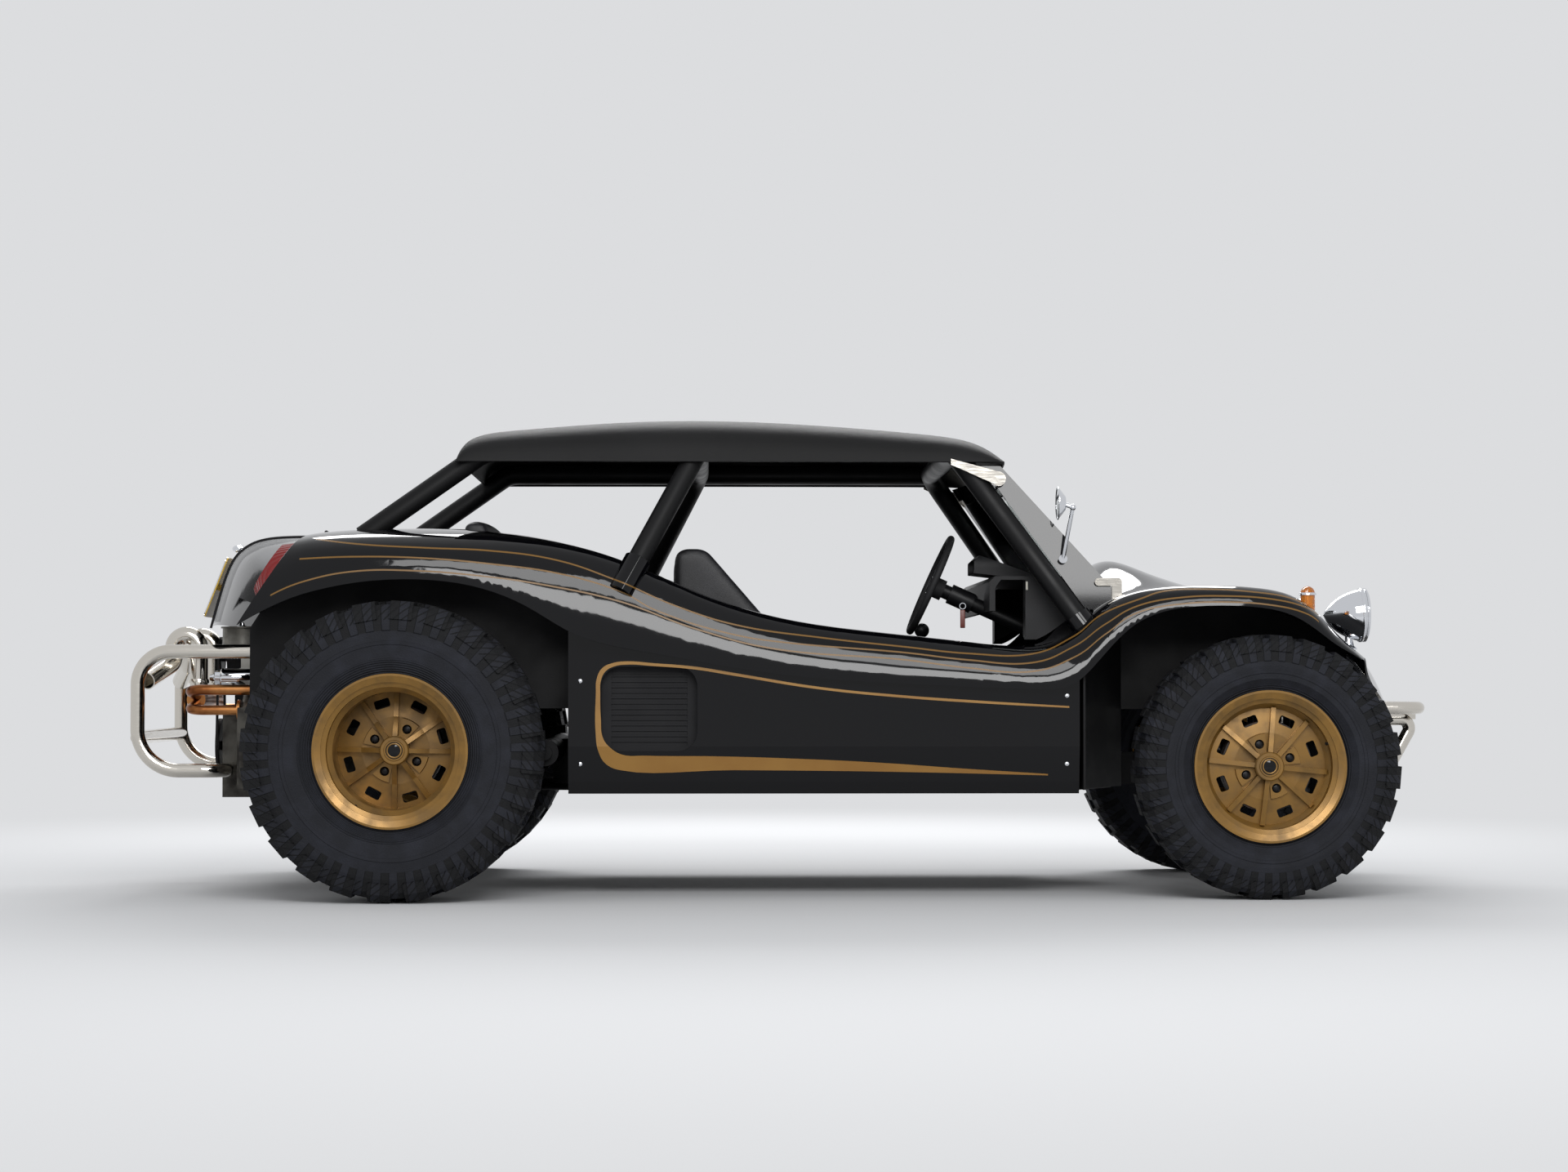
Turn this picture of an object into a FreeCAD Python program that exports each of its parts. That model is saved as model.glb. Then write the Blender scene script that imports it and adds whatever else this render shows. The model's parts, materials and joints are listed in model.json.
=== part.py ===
"""Four-seat dune buggy on an air-cooled floorpan, with a hardtop. Millimetres, nose towards +X, +Z up."""
import FreeCAD, Part
import math
import os

from FreeCAD import Vector

os.makedirs("parts", exist_ok=True)

# Car
wheelbase = 2400.0
rear_overhang = 784.0
front_overhang = 525.0
deck_height = 1004.0
body_half = 800.0
overrun = 20.0
running_fit = 0.05
face_gap = 0.3

# Wheels
rim_lip_diameter = 420.0
rim_seat_diameter = 381.0
rim_wall = 6.0
rim_lip = 11.0
rim_seat_width = 34.0
rim_well_depth = 24.0
rim_ledge_radius = 174.0
rim_ledge_edge = 187.0
rim_disc = 7.0
rim_boss_radius = 40.0
rim_boss_ring = 29.0
rim_cap_radius = 24.0
rim_cap_depth = 5.0
rim_pad_radius = 93.0
rim_pad_rise = 7.0
rim_pad_gap_angle = 22.0
rim_pair_count = 4
rim_pair_half_angle = 18.0
rim_rib_width = 13.0
rim_rib_height = 12.0
rim_slot_count = 8
rim_slot_radius = 133.0
rim_slot_length = 43.0
rim_slot_width = 25.0
rim_nut_circle = 130.0
rim_nut_radius = 13.0
front_rim_turn = 23.8
rear_rim_turn = -17.0
front_rim_width = 202.0
front_half_track = 650.0
front_disc_stand = 49.0
front_boss_length = 40.0
rear_rim_width = 279.0
rear_half_track = 730.0
rear_disc_stand = -35.0
rear_boss_length = 57.0

# Tyres
carcass = 16.0
front_tyre_diameter = 730.0
front_tyre_width = 235.0
rear_tyre_diameter = 820.0
rear_tyre_width = 292.0
lug_count = 24
lug_width = 62.0
lug_height = 10.0
lug_root = 14.0
lug_inner_share = 0.1
lug_foot_share = 0.87
tyre_bulge_share = 0.97
tyre_crown_share = 0.8
tyre_crown_drop_share = 0.992

# Brakes, hubs and steering knuckles
drum_radius = 125.0
drum_depth = 52.0
drum_wall = 9.0
front_drum_inset = 64.0
rear_drum_inset = 83.0
hub_radius = 34.0
hub_bore_radius = 27.0
spindle_radius = 18.0
kingpin_inset = 43.0
kingpin_radius = 19.0
kingpin_height = 176.0
ball_pin_radius = 9.0
ball_pin_length = 26.0
steering_arm_reach = 100.0
steering_arm_inset = 10.0
steering_arm_width = 26.0
steering_arm_height = 14.0
steering_arm_rise = 26.0
track_rod_radius = 11.0
track_rod_eye_radius = 15.0
track_rod_eye_height = 22.0

# Front beam
beam_ahead = 165.0
beam_tube_radius = 32.0
beam_tube_rise = 75.0
beam_arm_spread = 218.0
beam_arm_boss = 26.0
beam_arm_root_radius = 13.0
beam_arm_tip_radius = 7.0
beam_arm_eye_radius = 22.0
beam_arm_eye_height = 20.0
beam_plate = 12.0
beam_plate_inset = 24.0
beam_plate_reach = 42.0
shock_tower_height = 150.0

# Floor
floor_z = 300.0
floor_sheet = 4.0
floor_rear_x = 350.0
floor_front_gap = 390.0
floor_side_gap = 4.0
tunnel_half = 70.0
tunnel_height = 130.0
torsion_x = 400.0
torsion_z = 400.0
torsion_radius = 38.0
torsion_half = 540.0
torsion_cap_radius = 21.0
fork_radius = 26.0
fork_half = 172.0
fork_drop = 78.0
yoke_sheet = 12.0
frame_head_half = 60.0
frame_head_height = 90.0

# Body mouldings
shell_wall = 7.0
tub_wall = 6.0
tub_half_rear = 562.0
tub_side_gap = 208.0
tub_nose_half = 346.0
tub_rear_x = 130.0
tub_step_rear_x = 470.0
tub_step_front_x = 530.0
footwell_gap = 510.0
bulkhead_gap = 360.0
nose_wall_reach = 290.0
seat_pan_z = 530.0
seat_riser_x = 640.0
arch_wall_rear_x = -420.0
arch_wall_z = 470.0
nose_wall_z = 520.0
tail_cut_top_x = -262.0
tail_cut_lean = 138.0
tail_cut_drop = 214.0
cockpit_rear_x = 150.0
cockpit_front_gap = 500.0
cockpit_side_gap = 225.0
cockpit_corner = 110.0
collar_radius = 38.0
collar_length = 45.0

# Side pods
pod_rear_x = 472.0
pod_front_gap = 520.0
pod_bottom_z = 290.0
pod_face_inset = 94.0
pod_foot_inset = 16.0
pod_keel_inset = 24.0
pod_wall_gap = 6.0
pod_ledge_height = 34.0
pod_curve_height = 130.0
vent_x = 562.0
vent_length = 265.0
vent_z = 406.0
vent_height = 234.0
vent_corner = 55.0
vent_depth = 46.0
grille_sheet = 8.0
grille_slat = 4.0
grille_pitch = 15.0

# Engine lid, its hinges and the number plate
lid_half = 470.0
lid_shut_line = 5.0
lid_wall = 7.0
lid_top_x = -245.0
lid_reach = 350.0
lid_crown = 24.0
lid_fall = 260.0
lid_nose_pinch = 0.12
hinge_rise = 2.0
hinge_radius = 5.5
hinge_y = 190.0
hinge_knuckle = 34.0
hinge_side_gap = 1.0
hinge_notch = 1.5
hinge_strap = 22.0
hinge_strap_drop = 10.0
hinge_strap_sheet = 6.5
plate_width = 285.0
plate_height = 185.0
plate_sheet = 4.0
plate_corner = 14.0
plate_x = -581.0
plate_drop = 129.0
plate_tilt = 21.3
plate_stand_length = 40.0
plate_stand_half = 9.0

# Hardtop and cage
roof_rear_x = 150.0
roof_front_gap = 716.0
roof_edge_rise = 210.0
roof_crown = 138.0
roof_side_gap = 222.0
roof_bow = 36.0
roof_wall = 8.0
cage_radius = 30.0
cage_bend = 90.0
cage_rail_rise = 242.0
cage_rail_half = 520.0
hoop_top_x = 827.0
hoop_foot_x = 635.0
hoop_foot_drop = 121.0
hoop_foot_half = 690.0
stay_top_x = 232.0
stay_foot_x = -113.0
pillar_top_gap = 852.0
pillar_foot_gap = 492.0
pillar_foot_drop = 261.0
pillar_foot_half = 640.0

# Windscreen
screen_base_gap = 359.0
screen_top_gap = 724.0
screen_base_drop = 204.0
screen_top_rise = 199.0
screen_base_half = 591.0
screen_top_half = 556.0
screen_base_depth = 130.0
screen_top_depth = 53.0
screen_bow = 40.0
screen_across_shares = [-1.0, -0.75, -0.35, 0.0, 0.35, 0.75, 1.0]
screen_band = 46.0
screen_foot_share = 0.2
screen_head_share = 0.88
screen_glass = 6.0
screen_glass_inset = 9.0

# Windscreen brackets
bracket_sheet = 12.0
bracket_stand = 14.0
bracket_eye_radius = 20.0
bracket_eye_gap = 731.0
bracket_eye_rise = 162.0
bracket_tail_length = 134.0
bracket_tail_rise = 56.0
bracket_tail_height = 16.0
bracket_bolt_radius = 7.0
bracket_bolt_head = 4.0
clamp_rear_gap = 464.0
clamp_length = 76.0
clamp_drop = 138.0
clamp_height = 22.0
clamp_foot_length = 28.0
clamp_foot_height = 46.0
clamp_bolt_shares = [0.15, 0.5, 0.85]

# Cabin
driver_y = -318.0
column_tilt = 24.0
column_shroud_radius = 29.0
column_shroud_length = 92.0
column_radius = 21.0
column_jacket_length = 330.0
column_shaft_radius = 11.0
column_length = 1100.0
steering_box_half = 25.0
steering_box_length = 55.0
steering_box_height = 55.0
wheel_hub_gap = 905.0
wheel_hub_drop = 128.0
steering_wheel_radius = 145.0
steering_grip_radius = 10.0
steering_boss_radius = 30.0
steering_boss_length = 40.0
steering_spoke_width = 30.0
steering_spoke_sheet = 5.0
spoke_count = 3
spoke_hole_radius = 8.0
spoke_hole_shares = [0.42, 0.6, 0.78]
dash_rear_gap = 753.0
dash_front_gap = 475.0
dash_top_drop = 109.0
dash_height = 98.0
dash_half = 530.0
dash_wall = 10.0
dash_edge = 16.0
dash_box_gap = 652.0
dash_box_length = 147.0
dash_box_width = 70.0
dash_box_height = 178.0
binnacle_overhang = 35.0
binnacle_length = 190.0
binnacle_rise = 63.0
binnacle_rear_height = 51.0
binnacle_half = 120.0
binnacle_corner = 34.0
binnacle_recess = 26.0
binnacle_wall = 9.0
seat_half = 230.0
seat_y = 316.0
seat_rear_x = 765.0
seat_top_drop = 36.0
seat_top_length = 82.0
seat_bolster = 58.0
seat_bolster_knee_x = 1080.0
seat_bolster_knee_z = 700.0
seat_bolster_front_x = 1290.0
seat_front_x = 1340.0
seat_bottom_z = 335.0
seat_cushion_z = 455.0
seat_hollow = 70.0
seat_corner = 26.0
seat_runner_half = 150.0
seat_runner = 14.0
bench_half = 455.0
bench_gap = 7.0
bench_front_x = 690.0
bench_cushion_height = 62.0
bench_back_foot_x = 330.0
bench_back_depth = 100.0
bench_top_rise = 48.0
bench_top_depth = 66.0
bench_corner = 24.0
gear_lever_foot_gap = 1000.0
gear_knob_gap = 909.0
gear_knob_z = 751.0
gear_lever_radius = 7.0
gear_knob_radius = 22.0
brake_lever_foot_gap = 1150.0
brake_lever_length = 200.0
brake_lever_rise = 95.0
brake_lever_radius = 10.0
pedal_pad_length = 70.0
pedal_pad_width = 55.0
pedal_spacing = 85.0
pedal_gap = 520.0
pedal_height = 150.0
pedal_arm_radius = 6.0

# Engine and gearbox
engine_front_x = -170.0
engine_length = 390.0
block_half = 130.0
block_top_z = 505.0
block_bottom_z = 262.0
cylinder_radius = 62.0
cylinder_reach = 345.0
cylinder_spacing = 120.0
cylinder_fin = 6.0
cylinder_fin_pitch = 18.0
head_half_length = 115.0
head_start = 300.0
head_depth = 88.0
head_half_height = 115.0
cover_depth = 30.0
cover_half_length = 105.0
cover_half_height = 58.0
cover_drop = 30.0
cover_edge = 14.0
distributor_x = -500.0
distributor_y = 88.0
distributor_radius = 22.0
distributor_height = 62.0
distributor_cap_radius = 32.0
distributor_cap_height = 34.0
fan_x = -345.0
fan_radius = 165.0
fan_housing_depth = 95.0
fan_z = 672.0
fan_inlet_radius = 105.0
fan_inlet_depth = 60.0
fan_hub_radius = 38.0
fan_foot_half = 293.0
fan_foot_height = 85.0
alternator_radius = 62.0
alternator_length = 120.0
alternator_stand_rear = 540.0
alternator_stand_length = 60.0
alternator_stand_half = 30.0
pulley_x = -578.0
pulley_thick = 12.0
fan_pulley_radius = 52.0
crank_pulley_radius = 80.0
pulley_shaft_radius = 14.0
belt_thick = 7.0
manifold_x = -462.0
manifold_y = 350.0
manifold_knee_y = 230.0
manifold_z = 585.0
manifold_radius = 17.0
manifold_bend = 40.0
carburettor_x = -478.0
carburettor_y = -130.0
carburettor_half = 26.0
carburettor_height = 122.0
air_cleaner_x = -505.0
air_cleaner_radius = 56.0
air_cleaner_height = 52.0
air_cleaner_lid = 5.0
gearbox_radius = 100.0
gearbox_bell_radius = 125.0
gearbox_bell_length = 90.0
gearbox_body_x = 150.0
gearbox_nose_radius = 68.0
gearbox_nose_x = 330.0
axle_tube_radius = 36.0
axle_bell_radius = 62.0
axle_bell_reach = 150.0
hub_carrier_radius = 52.0
hub_carrier_half = 30.0
spring_plate_sheet = 12.0
spring_plate_height = 62.0
spring_plate_gap = 5.0

# Exhaust
header_y = 320.0
upper_header_x = -400.0
upper_header_z = 575.0
upper_header_radius = 15.0
lower_header_z = 517.0
lower_header_radius = 14.0
header_flange_radius = 30.0
header_flange_sheet = 8.0
header_bend = 42.0
collector_x = -628.0
collector_z = 546.0
collector_radius = 27.0
collector_half = 190.0
tailpipe_radius = 26.0
tailpipe_bore_radius = 23.0
tailpipe_bore_depth = 120.0
tailpipe_y = 143.0
tailpipe_arch_z = 733.0
tailpipe_bend = 36.0
tailpipe_drop_z = 655.0
tailpipe_tip_x = -752.0
tailpipe_tip_y = 300.0
tailpipe_tip_z = 601.0

# Bumpers
rear_bumper_radius = 20.0
rear_bumper_half = 374.0
rear_bumper_top_z = 684.0
rear_bumper_bottom_z = 346.0
rear_bumper_bar_z = 440.0
rear_bumper_mount_x = -130.0
rear_bumper_root_ahead = 40.0
rear_bumper_top_bend = 93.0
rear_bumper_bottom_bend = 117.0
rear_bumper_root_bend = 60.0
front_bumper_radius = 18.0
front_bumper_half = 370.0
front_bumper_top_z = 523.0
front_bumper_bend = 78.0
front_bumper_leg_y = 259.0
front_bumper_leg_z = 490.0
front_bumper_leg_bend = 26.0
front_bumper_foot_bend = 40.0
front_bumper_bottom_z = 346.0
front_bumper_bottom_gap = 426.0
front_bumper_gusset = 12.0
front_bumper_gusset_length = 50.0

# Lamps and mirror
headlamp_radius = 75.0
headlamp_ahead = 322.0
headlamp_drop = 216.0
headlamp_y = 430.0
headlamp_length = 115.0
headlamp_rim = 8.0
headlamp_shares = [(0.5, 0.78), (0.85, 0.38)]
headlamp_stalk_radius = 11.0
headlamp_stalk_gap = 42.0
headlamp_lens_radius = 67.0
headlamp_lens_rise = 13.0
headlamp_lens_edge = 3.0
indicator_ahead = 125.0
indicator_y = 636.0
indicator_drop = 160.0
indicator_radius = 20.0
indicator_foot = 60.0
tail_lamp_length = 203.0
tail_lamp_width = 96.0
tail_lamp_lean = 0.3
tail_lamp_depth = 34.0
tail_lamp_taper = 0.72
tail_lamp_y = 640.0
mirror_radius = 46.0
mirror_back_radius = 20.0
mirror_depth = 20.0
mirror_gap = 571.0
mirror_rise = 90.0
mirror_y = 640.0
mirror_ball_ahead = 21.0
mirror_ball_drop = 11.0
mirror_ball_radius = 9.0
mirror_stalk_radius = 6.0
mirror_foot_ahead = -23.0
mirror_foot_drop = 142.0
mirror_foot_y = 594.0
mirror_base_radius = 12.0
mirror_base_length = 24.0

# Places that follow from the sizes above
centre_x = (wheelbase + front_overhang - rear_overhang) / 2
rear_axle_z = rear_tyre_diameter / 2
front_axle_z = front_tyre_diameter / 2
crank_z = rear_axle_z
front_disc_y = front_half_track + front_disc_stand
front_drum_y = front_disc_y - front_drum_inset
rear_disc_y = rear_half_track + rear_disc_stand
rear_drum_y = rear_disc_y - rear_drum_inset
kingpin_y = front_half_track - kingpin_inset
beam_x = wheelbase + beam_ahead
beam_half = kingpin_y - beam_arm_spread
beam_plate_y = beam_half - beam_plate_inset
spring_plate_y = torsion_half + spring_plate_gap
tub_half = body_half - tub_side_gap
floor_half = tub_half - floor_side_gap
floor_front_x = wheelbase - floor_front_gap
footwell_x = wheelbase - footwell_gap
bulkhead_x = wheelbase - bulkhead_gap
nose_wall_front_x = wheelbase + nose_wall_reach
cockpit_front_x = wheelbase - cockpit_front_gap
cockpit_half = body_half - cockpit_side_gap
tail_cut_top_z = deck_height
tail_cut_bottom_x = tail_cut_top_x - tail_cut_lean
tail_cut_bottom_z = deck_height - tail_cut_drop
pod_front_x = wheelbase - pod_front_gap
pod_face_y = body_half - pod_face_inset
pod_foot_y = pod_face_y - pod_foot_inset
pod_inner_y = tub_half + pod_wall_gap
lid_crown_z = deck_height + lid_crown
lid_bottom_z = lid_crown_z - lid_fall
hinge_x = lid_top_x - lid_shut_line / 2
hinge_z = lid_crown_z + hinge_rise
plate_z = deck_height - plate_drop
roof_front_x = wheelbase - roof_front_gap
roof_edge_z = deck_height + roof_edge_rise
roof_half = body_half - roof_side_gap
cage_rail_z = deck_height + cage_rail_rise
pillar_top_x = wheelbase - pillar_top_gap
pillar_foot_x = wheelbase - pillar_foot_gap
pillar_foot_z = deck_height - pillar_foot_drop
hoop_foot_z = deck_height - hoop_foot_drop
wheel_hub_x = wheelbase - wheel_hub_gap
wheel_hub_z = deck_height - wheel_hub_drop
dash_rear_x = wheelbase - dash_rear_gap
dash_front_x = wheelbase - dash_front_gap
dash_top_z = deck_height - dash_top_drop
seat_top_z = deck_height - seat_top_drop
bench_top_z = deck_height + bench_top_rise
head_end = head_start + head_depth
engine_rear_x = engine_front_x - engine_length
engine_middle_x = engine_front_x - engine_length / 2
rear_bumper_root_x = engine_rear_x + rear_bumper_root_ahead
front_bumper_mount_x = beam_x + beam_plate_reach + face_gap
headlamp_x = wheelbase + headlamp_ahead
headlamp_z = deck_height - headlamp_drop
mirror_x = wheelbase - mirror_gap
mirror_z = deck_height + mirror_rise
axis_x = Vector(1, 0, 0)
axis_y = Vector(0, 1, 0)
axis_z = Vector(0, 0, 1)


def save(node, shape):
    """Write one piece, moved so that the car's middle is at X zero."""
    placed = shape.copy()
    placed.translate(Vector(-centre_x, 0, 0))
    placed.exportStep("parts/" + node + ".step")
    print(node, len(placed.Solids), "solids", round(placed.Volume / 1e6, 2), "litres", placed.isValid())


def mirrored(shape):
    return shape.mirror(Vector(0, 0, 0), axis_y)


def both_sides(shape):
    return Part.makeCompound([shape, mirrored(shape)])


def fused(shapes):
    result = shapes[0]
    if len(shapes) > 1:
        result = shapes[0].multiFuse(shapes[1:])
    return result.removeSplitter()


def rod(start, end, radius, end_radius=None):
    """A straight round bar or cone from one point to another."""
    along = end - start
    if end_radius is None:
        return Part.makeCylinder(radius, along.Length, start, along)
    return Part.makeCone(radius, end_radius, along.Length, start, along)


def box(x0, x1, y0, y1, z0, z1):
    return Part.makeBox(x1 - x0, y1 - y0, z1 - z0, Vector(x0, y0, z0))


def pipe(points, radius, bends):
    """A round tube along straight runs joined by tangent arcs, with one bend radius for each corner."""
    edges = []
    start = points[0]
    for here, corner, after, bend in zip(points, points[1:], points[2:], bends):
        back = (here - corner).normalize()
        on = (after - corner).normalize()
        half_angle = back.getAngle(on) / 2
        reach = bend / math.tan(half_angle)
        middle = (back + on).normalize() * (bend / math.sin(half_angle) - bend)
        enter = corner + back * reach
        leave = corner + on * reach
        if (enter - start).Length > running_fit:
            edges.append(Part.LineSegment(start, enter).toShape())
        edges.append(Part.Arc(enter, corner + middle, leave).toShape())
        start = leave
    edges.append(Part.LineSegment(start, points[-1]).toShape())
    path = Part.Wire(edges)
    ring = Part.Wire(Part.makeCircle(radius, points[0], points[1] - points[0]))
    return path.makePipeShell([ring], True, True)


def outline(points):
    return Part.Face(Part.makePolygon(points + [points[0]]))


def rounded_outline(points, corner):
    """A flat outline with each corner rounded by a tangent arc."""
    edges = []
    ring = points[-1:] + points + points[:1]
    ends = []
    for here, at, after in zip(ring, ring[1:], ring[2:]):
        back = (here - at).normalize()
        on = (after - at).normalize()
        half_angle = back.getAngle(on) / 2
        reach = corner / math.tan(half_angle)
        middle = (back + on).normalize() * (corner / math.sin(half_angle) - corner)
        ends.append((at + back * reach, at + middle, at + on * reach))
    for (enter, middle, leave), following in zip(ends, ends[1:] + ends[:1]):
        edges.append(Part.Arc(enter, middle, leave).toShape())
        if (following[0] - leave).Length > running_fit:
            edges.append(Part.LineSegment(leave, following[0]).toShape())
    return Part.Face(Part.Wire(edges))


def net_face(rows):
    """A smooth face drawn by a net of control points."""
    def knots(count, degree):
        spans = count - degree
        return [share / spans for share in range(spans + 1)], [degree + 1] + [1] * (spans - 1) + [degree + 1]

    degree_u = min(3, len(rows) - 1)
    degree_v = min(3, len(rows[0]) - 1)
    knots_u, mults_u = knots(len(rows), degree_u)
    knots_v, mults_v = knots(len(rows[0]), degree_v)
    surface = Part.BSplineSurface()
    surface.buildFromPolesMultsKnots(rows, mults_u, mults_v, knots_u, knots_v, False, False, degree_u,
                                     degree_v)
    return surface.toShape()


def net_solid(upper, lower):
    """The closed solid between two nets of the same size."""
    sides = [
        [upper[0], lower[0]],
        [upper[-1], lower[-1]],
        [[row[0] for row in upper], [row[0] for row in lower]],
        [[row[-1] for row in upper], [row[-1] for row in lower]],
    ]
    shell = Part.makeShell([net_face(rows) for rows in [upper, lower] + sides])
    shell.sewShape()
    solid = Part.makeSolid(shell)
    if solid.Volume < 0:
        solid.reverse()
    return solid


def inset(rows, depth):
    """The same net, moved inwards by a wall's thickness."""
    moved = []
    for i, row in enumerate(rows):
        before = rows[max(i - 1, 0)]
        after = rows[min(i + 1, len(rows) - 1)]
        line = []
        for j, point in enumerate(row):
            along = after[j] - before[j]
            across = row[min(j + 1, len(row) - 1)] - row[max(j - 1, 0)]
            line.append(point - along.cross(across).normalize() * depth)
        moved.append(line)
    return moved


def both_halves(half_row):
    """A whole section, from the right edge to the left, from its right half that ends on the centreline."""
    return half_row + [Vector(p.x, -p.y, p.z) for p in reversed(half_row[:-1])]


# Body skin: stations from the tail to the nose, as shares of the wheelbase ahead of the rear axle.
station_shares = [
    -0.180, -0.130, -0.080, -0.020, 0.050, 0.105, 0.155, 0.200, 0.250,
    0.310, 0.375, 0.460, 0.550, 0.640, 0.705, 0.745, 0.778, 0.808,
    0.845, 0.895, 0.950, 0.994, 1.027, 1.055, 1.0775, 1.095, 1.104,
]
# Heights as shares of the rear deck's height.
lip_height_shares = [
    0.745, 0.815, 0.850, 0.874, 0.874, 0.850, 0.800, 0.722, 0.690,
    0.667, 0.636, 0.607, 0.593, 0.583, 0.577, 0.572, 0.580, 0.665,
    0.765, 0.802, 0.806, 0.800, 0.782, 0.738, 0.692, 0.672, 0.656,
]
flank_height_shares = [
    0.800, 0.880, 0.920, 0.935, 0.935, 0.915, 0.880, 0.835, 0.790,
    0.745, 0.700, 0.660, 0.638, 0.625, 0.618, 0.612, 0.635, 0.720,
    0.800, 0.832, 0.835, 0.830, 0.812, 0.770, 0.707, 0.682, 0.660,
]
crest_height_shares = [
    0.930, 0.985, 1.000, 1.004, 1.004, 1.002, 0.992, 0.975, 0.945,
    0.885, 0.815, 0.762, 0.738, 0.715, 0.695, 0.690, 0.730, 0.812,
    0.852, 0.866, 0.866, 0.860, 0.845, 0.800, 0.725, 0.687, 0.663,
]
inner_height_shares = [
    0.950, 1.000, 1.014, 1.020, 1.020, 1.014, 1.000, 0.975, 0.938,
    0.872, 0.805, 0.755, 0.730, 0.708, 0.690, 0.688, 0.735, 0.800,
    0.838, 0.846, 0.843, 0.832, 0.812, 0.770, 0.700, 0.650, 0.620,
]
valley_height_shares = [
    0.955, 1.006, 1.024, 1.028, 1.028, 1.024, 1.010, 0.985, 0.948,
    0.885, 0.820, 0.770, 0.745, 0.722, 0.710, 0.740, 0.835, 0.870,
    0.870, 0.852, 0.838, 0.815, 0.790, 0.750, 0.700, 0.640, 0.570,
]
centre_height_shares = [
    0.960, 1.012, 1.030, 1.034, 1.034, 1.030, 1.015, 0.990, 0.955,
    0.890, 0.830, 0.785, 0.760, 0.740, 0.750, 0.790, 0.850, 0.900,
    0.985, 0.920, 0.872, 0.845, 0.810, 0.768, 0.715, 0.640, 0.508,
]
# Half widths as shares of the body's half width.
lip_width_shares = [
    0.985, 1.000, 1.000, 1.000, 0.998, 0.990, 0.975, 0.950, 0.930,
    0.918, 0.910, 0.905, 0.902, 0.902, 0.905, 0.910, 0.918, 0.925,
    0.928, 0.930, 0.930, 0.928, 0.922, 0.910, 0.890, 0.855, 0.830,
]
crest_width_shares = [
    0.845, 0.850, 0.850, 0.850, 0.850, 0.850, 0.848, 0.842, 0.835,
    0.828, 0.822, 0.818, 0.816, 0.816, 0.816, 0.818, 0.820, 0.822,
    0.822, 0.822, 0.822, 0.818, 0.810, 0.795, 0.775, 0.745, 0.725,
]
inner_width_share = 0.72
valley_width_share = 0.56
middle_width_share = 0.28
shoulder_share = 0.6
nose_bow_shares = [
    0.0, 0.0, 0.0, 0.0, 0.0, 0.0, 0.0, 0.0, 0.0,
    0.0, 0.0, 0.0, 0.0, 0.0, 0.0, 0.0, 0.0, 0.0,
    0.0, 0.0, 0.006, 0.014, 0.028, 0.046, 0.065, 0.082, 0.092,
]


def between(start, end, share):
    return start + (end - start) * share


def skin_rows():
    """The body's outer net, from lip to lip at each station."""
    tables = zip(station_shares, lip_height_shares, flank_height_shares, crest_height_shares,
                 inner_height_shares,
                 valley_height_shares, centre_height_shares, lip_width_shares, crest_width_shares,
                 nose_bow_shares)
    rows = []
    for x, lip, flank, crest, inner, valley, centre, lip_width, crest_width, bow in tables:
        places = [
            (lip_width, lip),
            (lip_width, flank),
            (between(crest_width, lip_width, shoulder_share),
             between(crest, flank, 1 - shoulder_share ** 0.5)),
            (crest_width, crest),
            (inner_width_share, inner),
            (valley_width_share, valley),
            (middle_width_share, between(centre, valley, 1 - shoulder_share ** 0.5)),
            (0, centre),
        ]
        half = []
        for width, height in places:
            ahead = x + bow * (1 - width * width) ** 2
            half.append(Vector(ahead * wheelbase, -width * body_half, height * deck_height))
        rows.append(both_halves(half))
    return rows


def level_rows(rows, height):
    return [[Vector(p.x, p.y, height) for p in row] for row in rows]


sky_z = deck_height * 2
outer_rows = skin_rows()
inner_rows = inset(outer_rows, shell_wall)
above_skin = net_solid(level_rows(inner_rows, sky_z), inner_rows)
below_skin = net_solid(outer_rows, level_rows(outer_rows, 0))
below_wall = net_solid(inner_rows, level_rows(inner_rows, 0))


def prism(points, z0, z1):
    return outline([Vector(p.x, p.y, z0) for p in points]).extrude(Vector(0, 0, z1 - z0))


def across(points, y0, y1):
    """A side outline of (x, z) points, as thick as the distance between two planes."""
    return outline([Vector(x, y0, z) for x, z in points]).extrude(Vector(0, y1 - y0, 0))


def rounded_across(points, corner, y0, y1):
    return rounded_outline([Vector(x, y0, z) for x, z in points], corner).extrude(Vector(0, y1 - y0, 0))


def cross_rod(x, z, y0, y1, radius):
    return rod(Vector(x, y0, z), Vector(x, y1, z), radius)


def upright(x, y, z0, z1, radius):
    return rod(Vector(x, y, z0), Vector(x, y, z1), radius)


def cockpit_cut():
    points = [
        Vector(cockpit_rear_x, -cockpit_half + cockpit_corner, floor_z),
        Vector(cockpit_rear_x, cockpit_half - cockpit_corner, floor_z),
        Vector(cockpit_rear_x + cockpit_corner, cockpit_half, floor_z),
        Vector(cockpit_front_x - cockpit_corner, cockpit_half, floor_z),
        Vector(cockpit_front_x, cockpit_half - cockpit_corner, floor_z),
        Vector(cockpit_front_x, -cockpit_half + cockpit_corner, floor_z),
        Vector(cockpit_front_x - cockpit_corner, -cockpit_half, floor_z),
        Vector(cockpit_rear_x + cockpit_corner, -cockpit_half, floor_z),
    ]
    return rounded_outline(points, cockpit_corner / 2).extrude(Vector(0, 0, sky_z))


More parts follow.
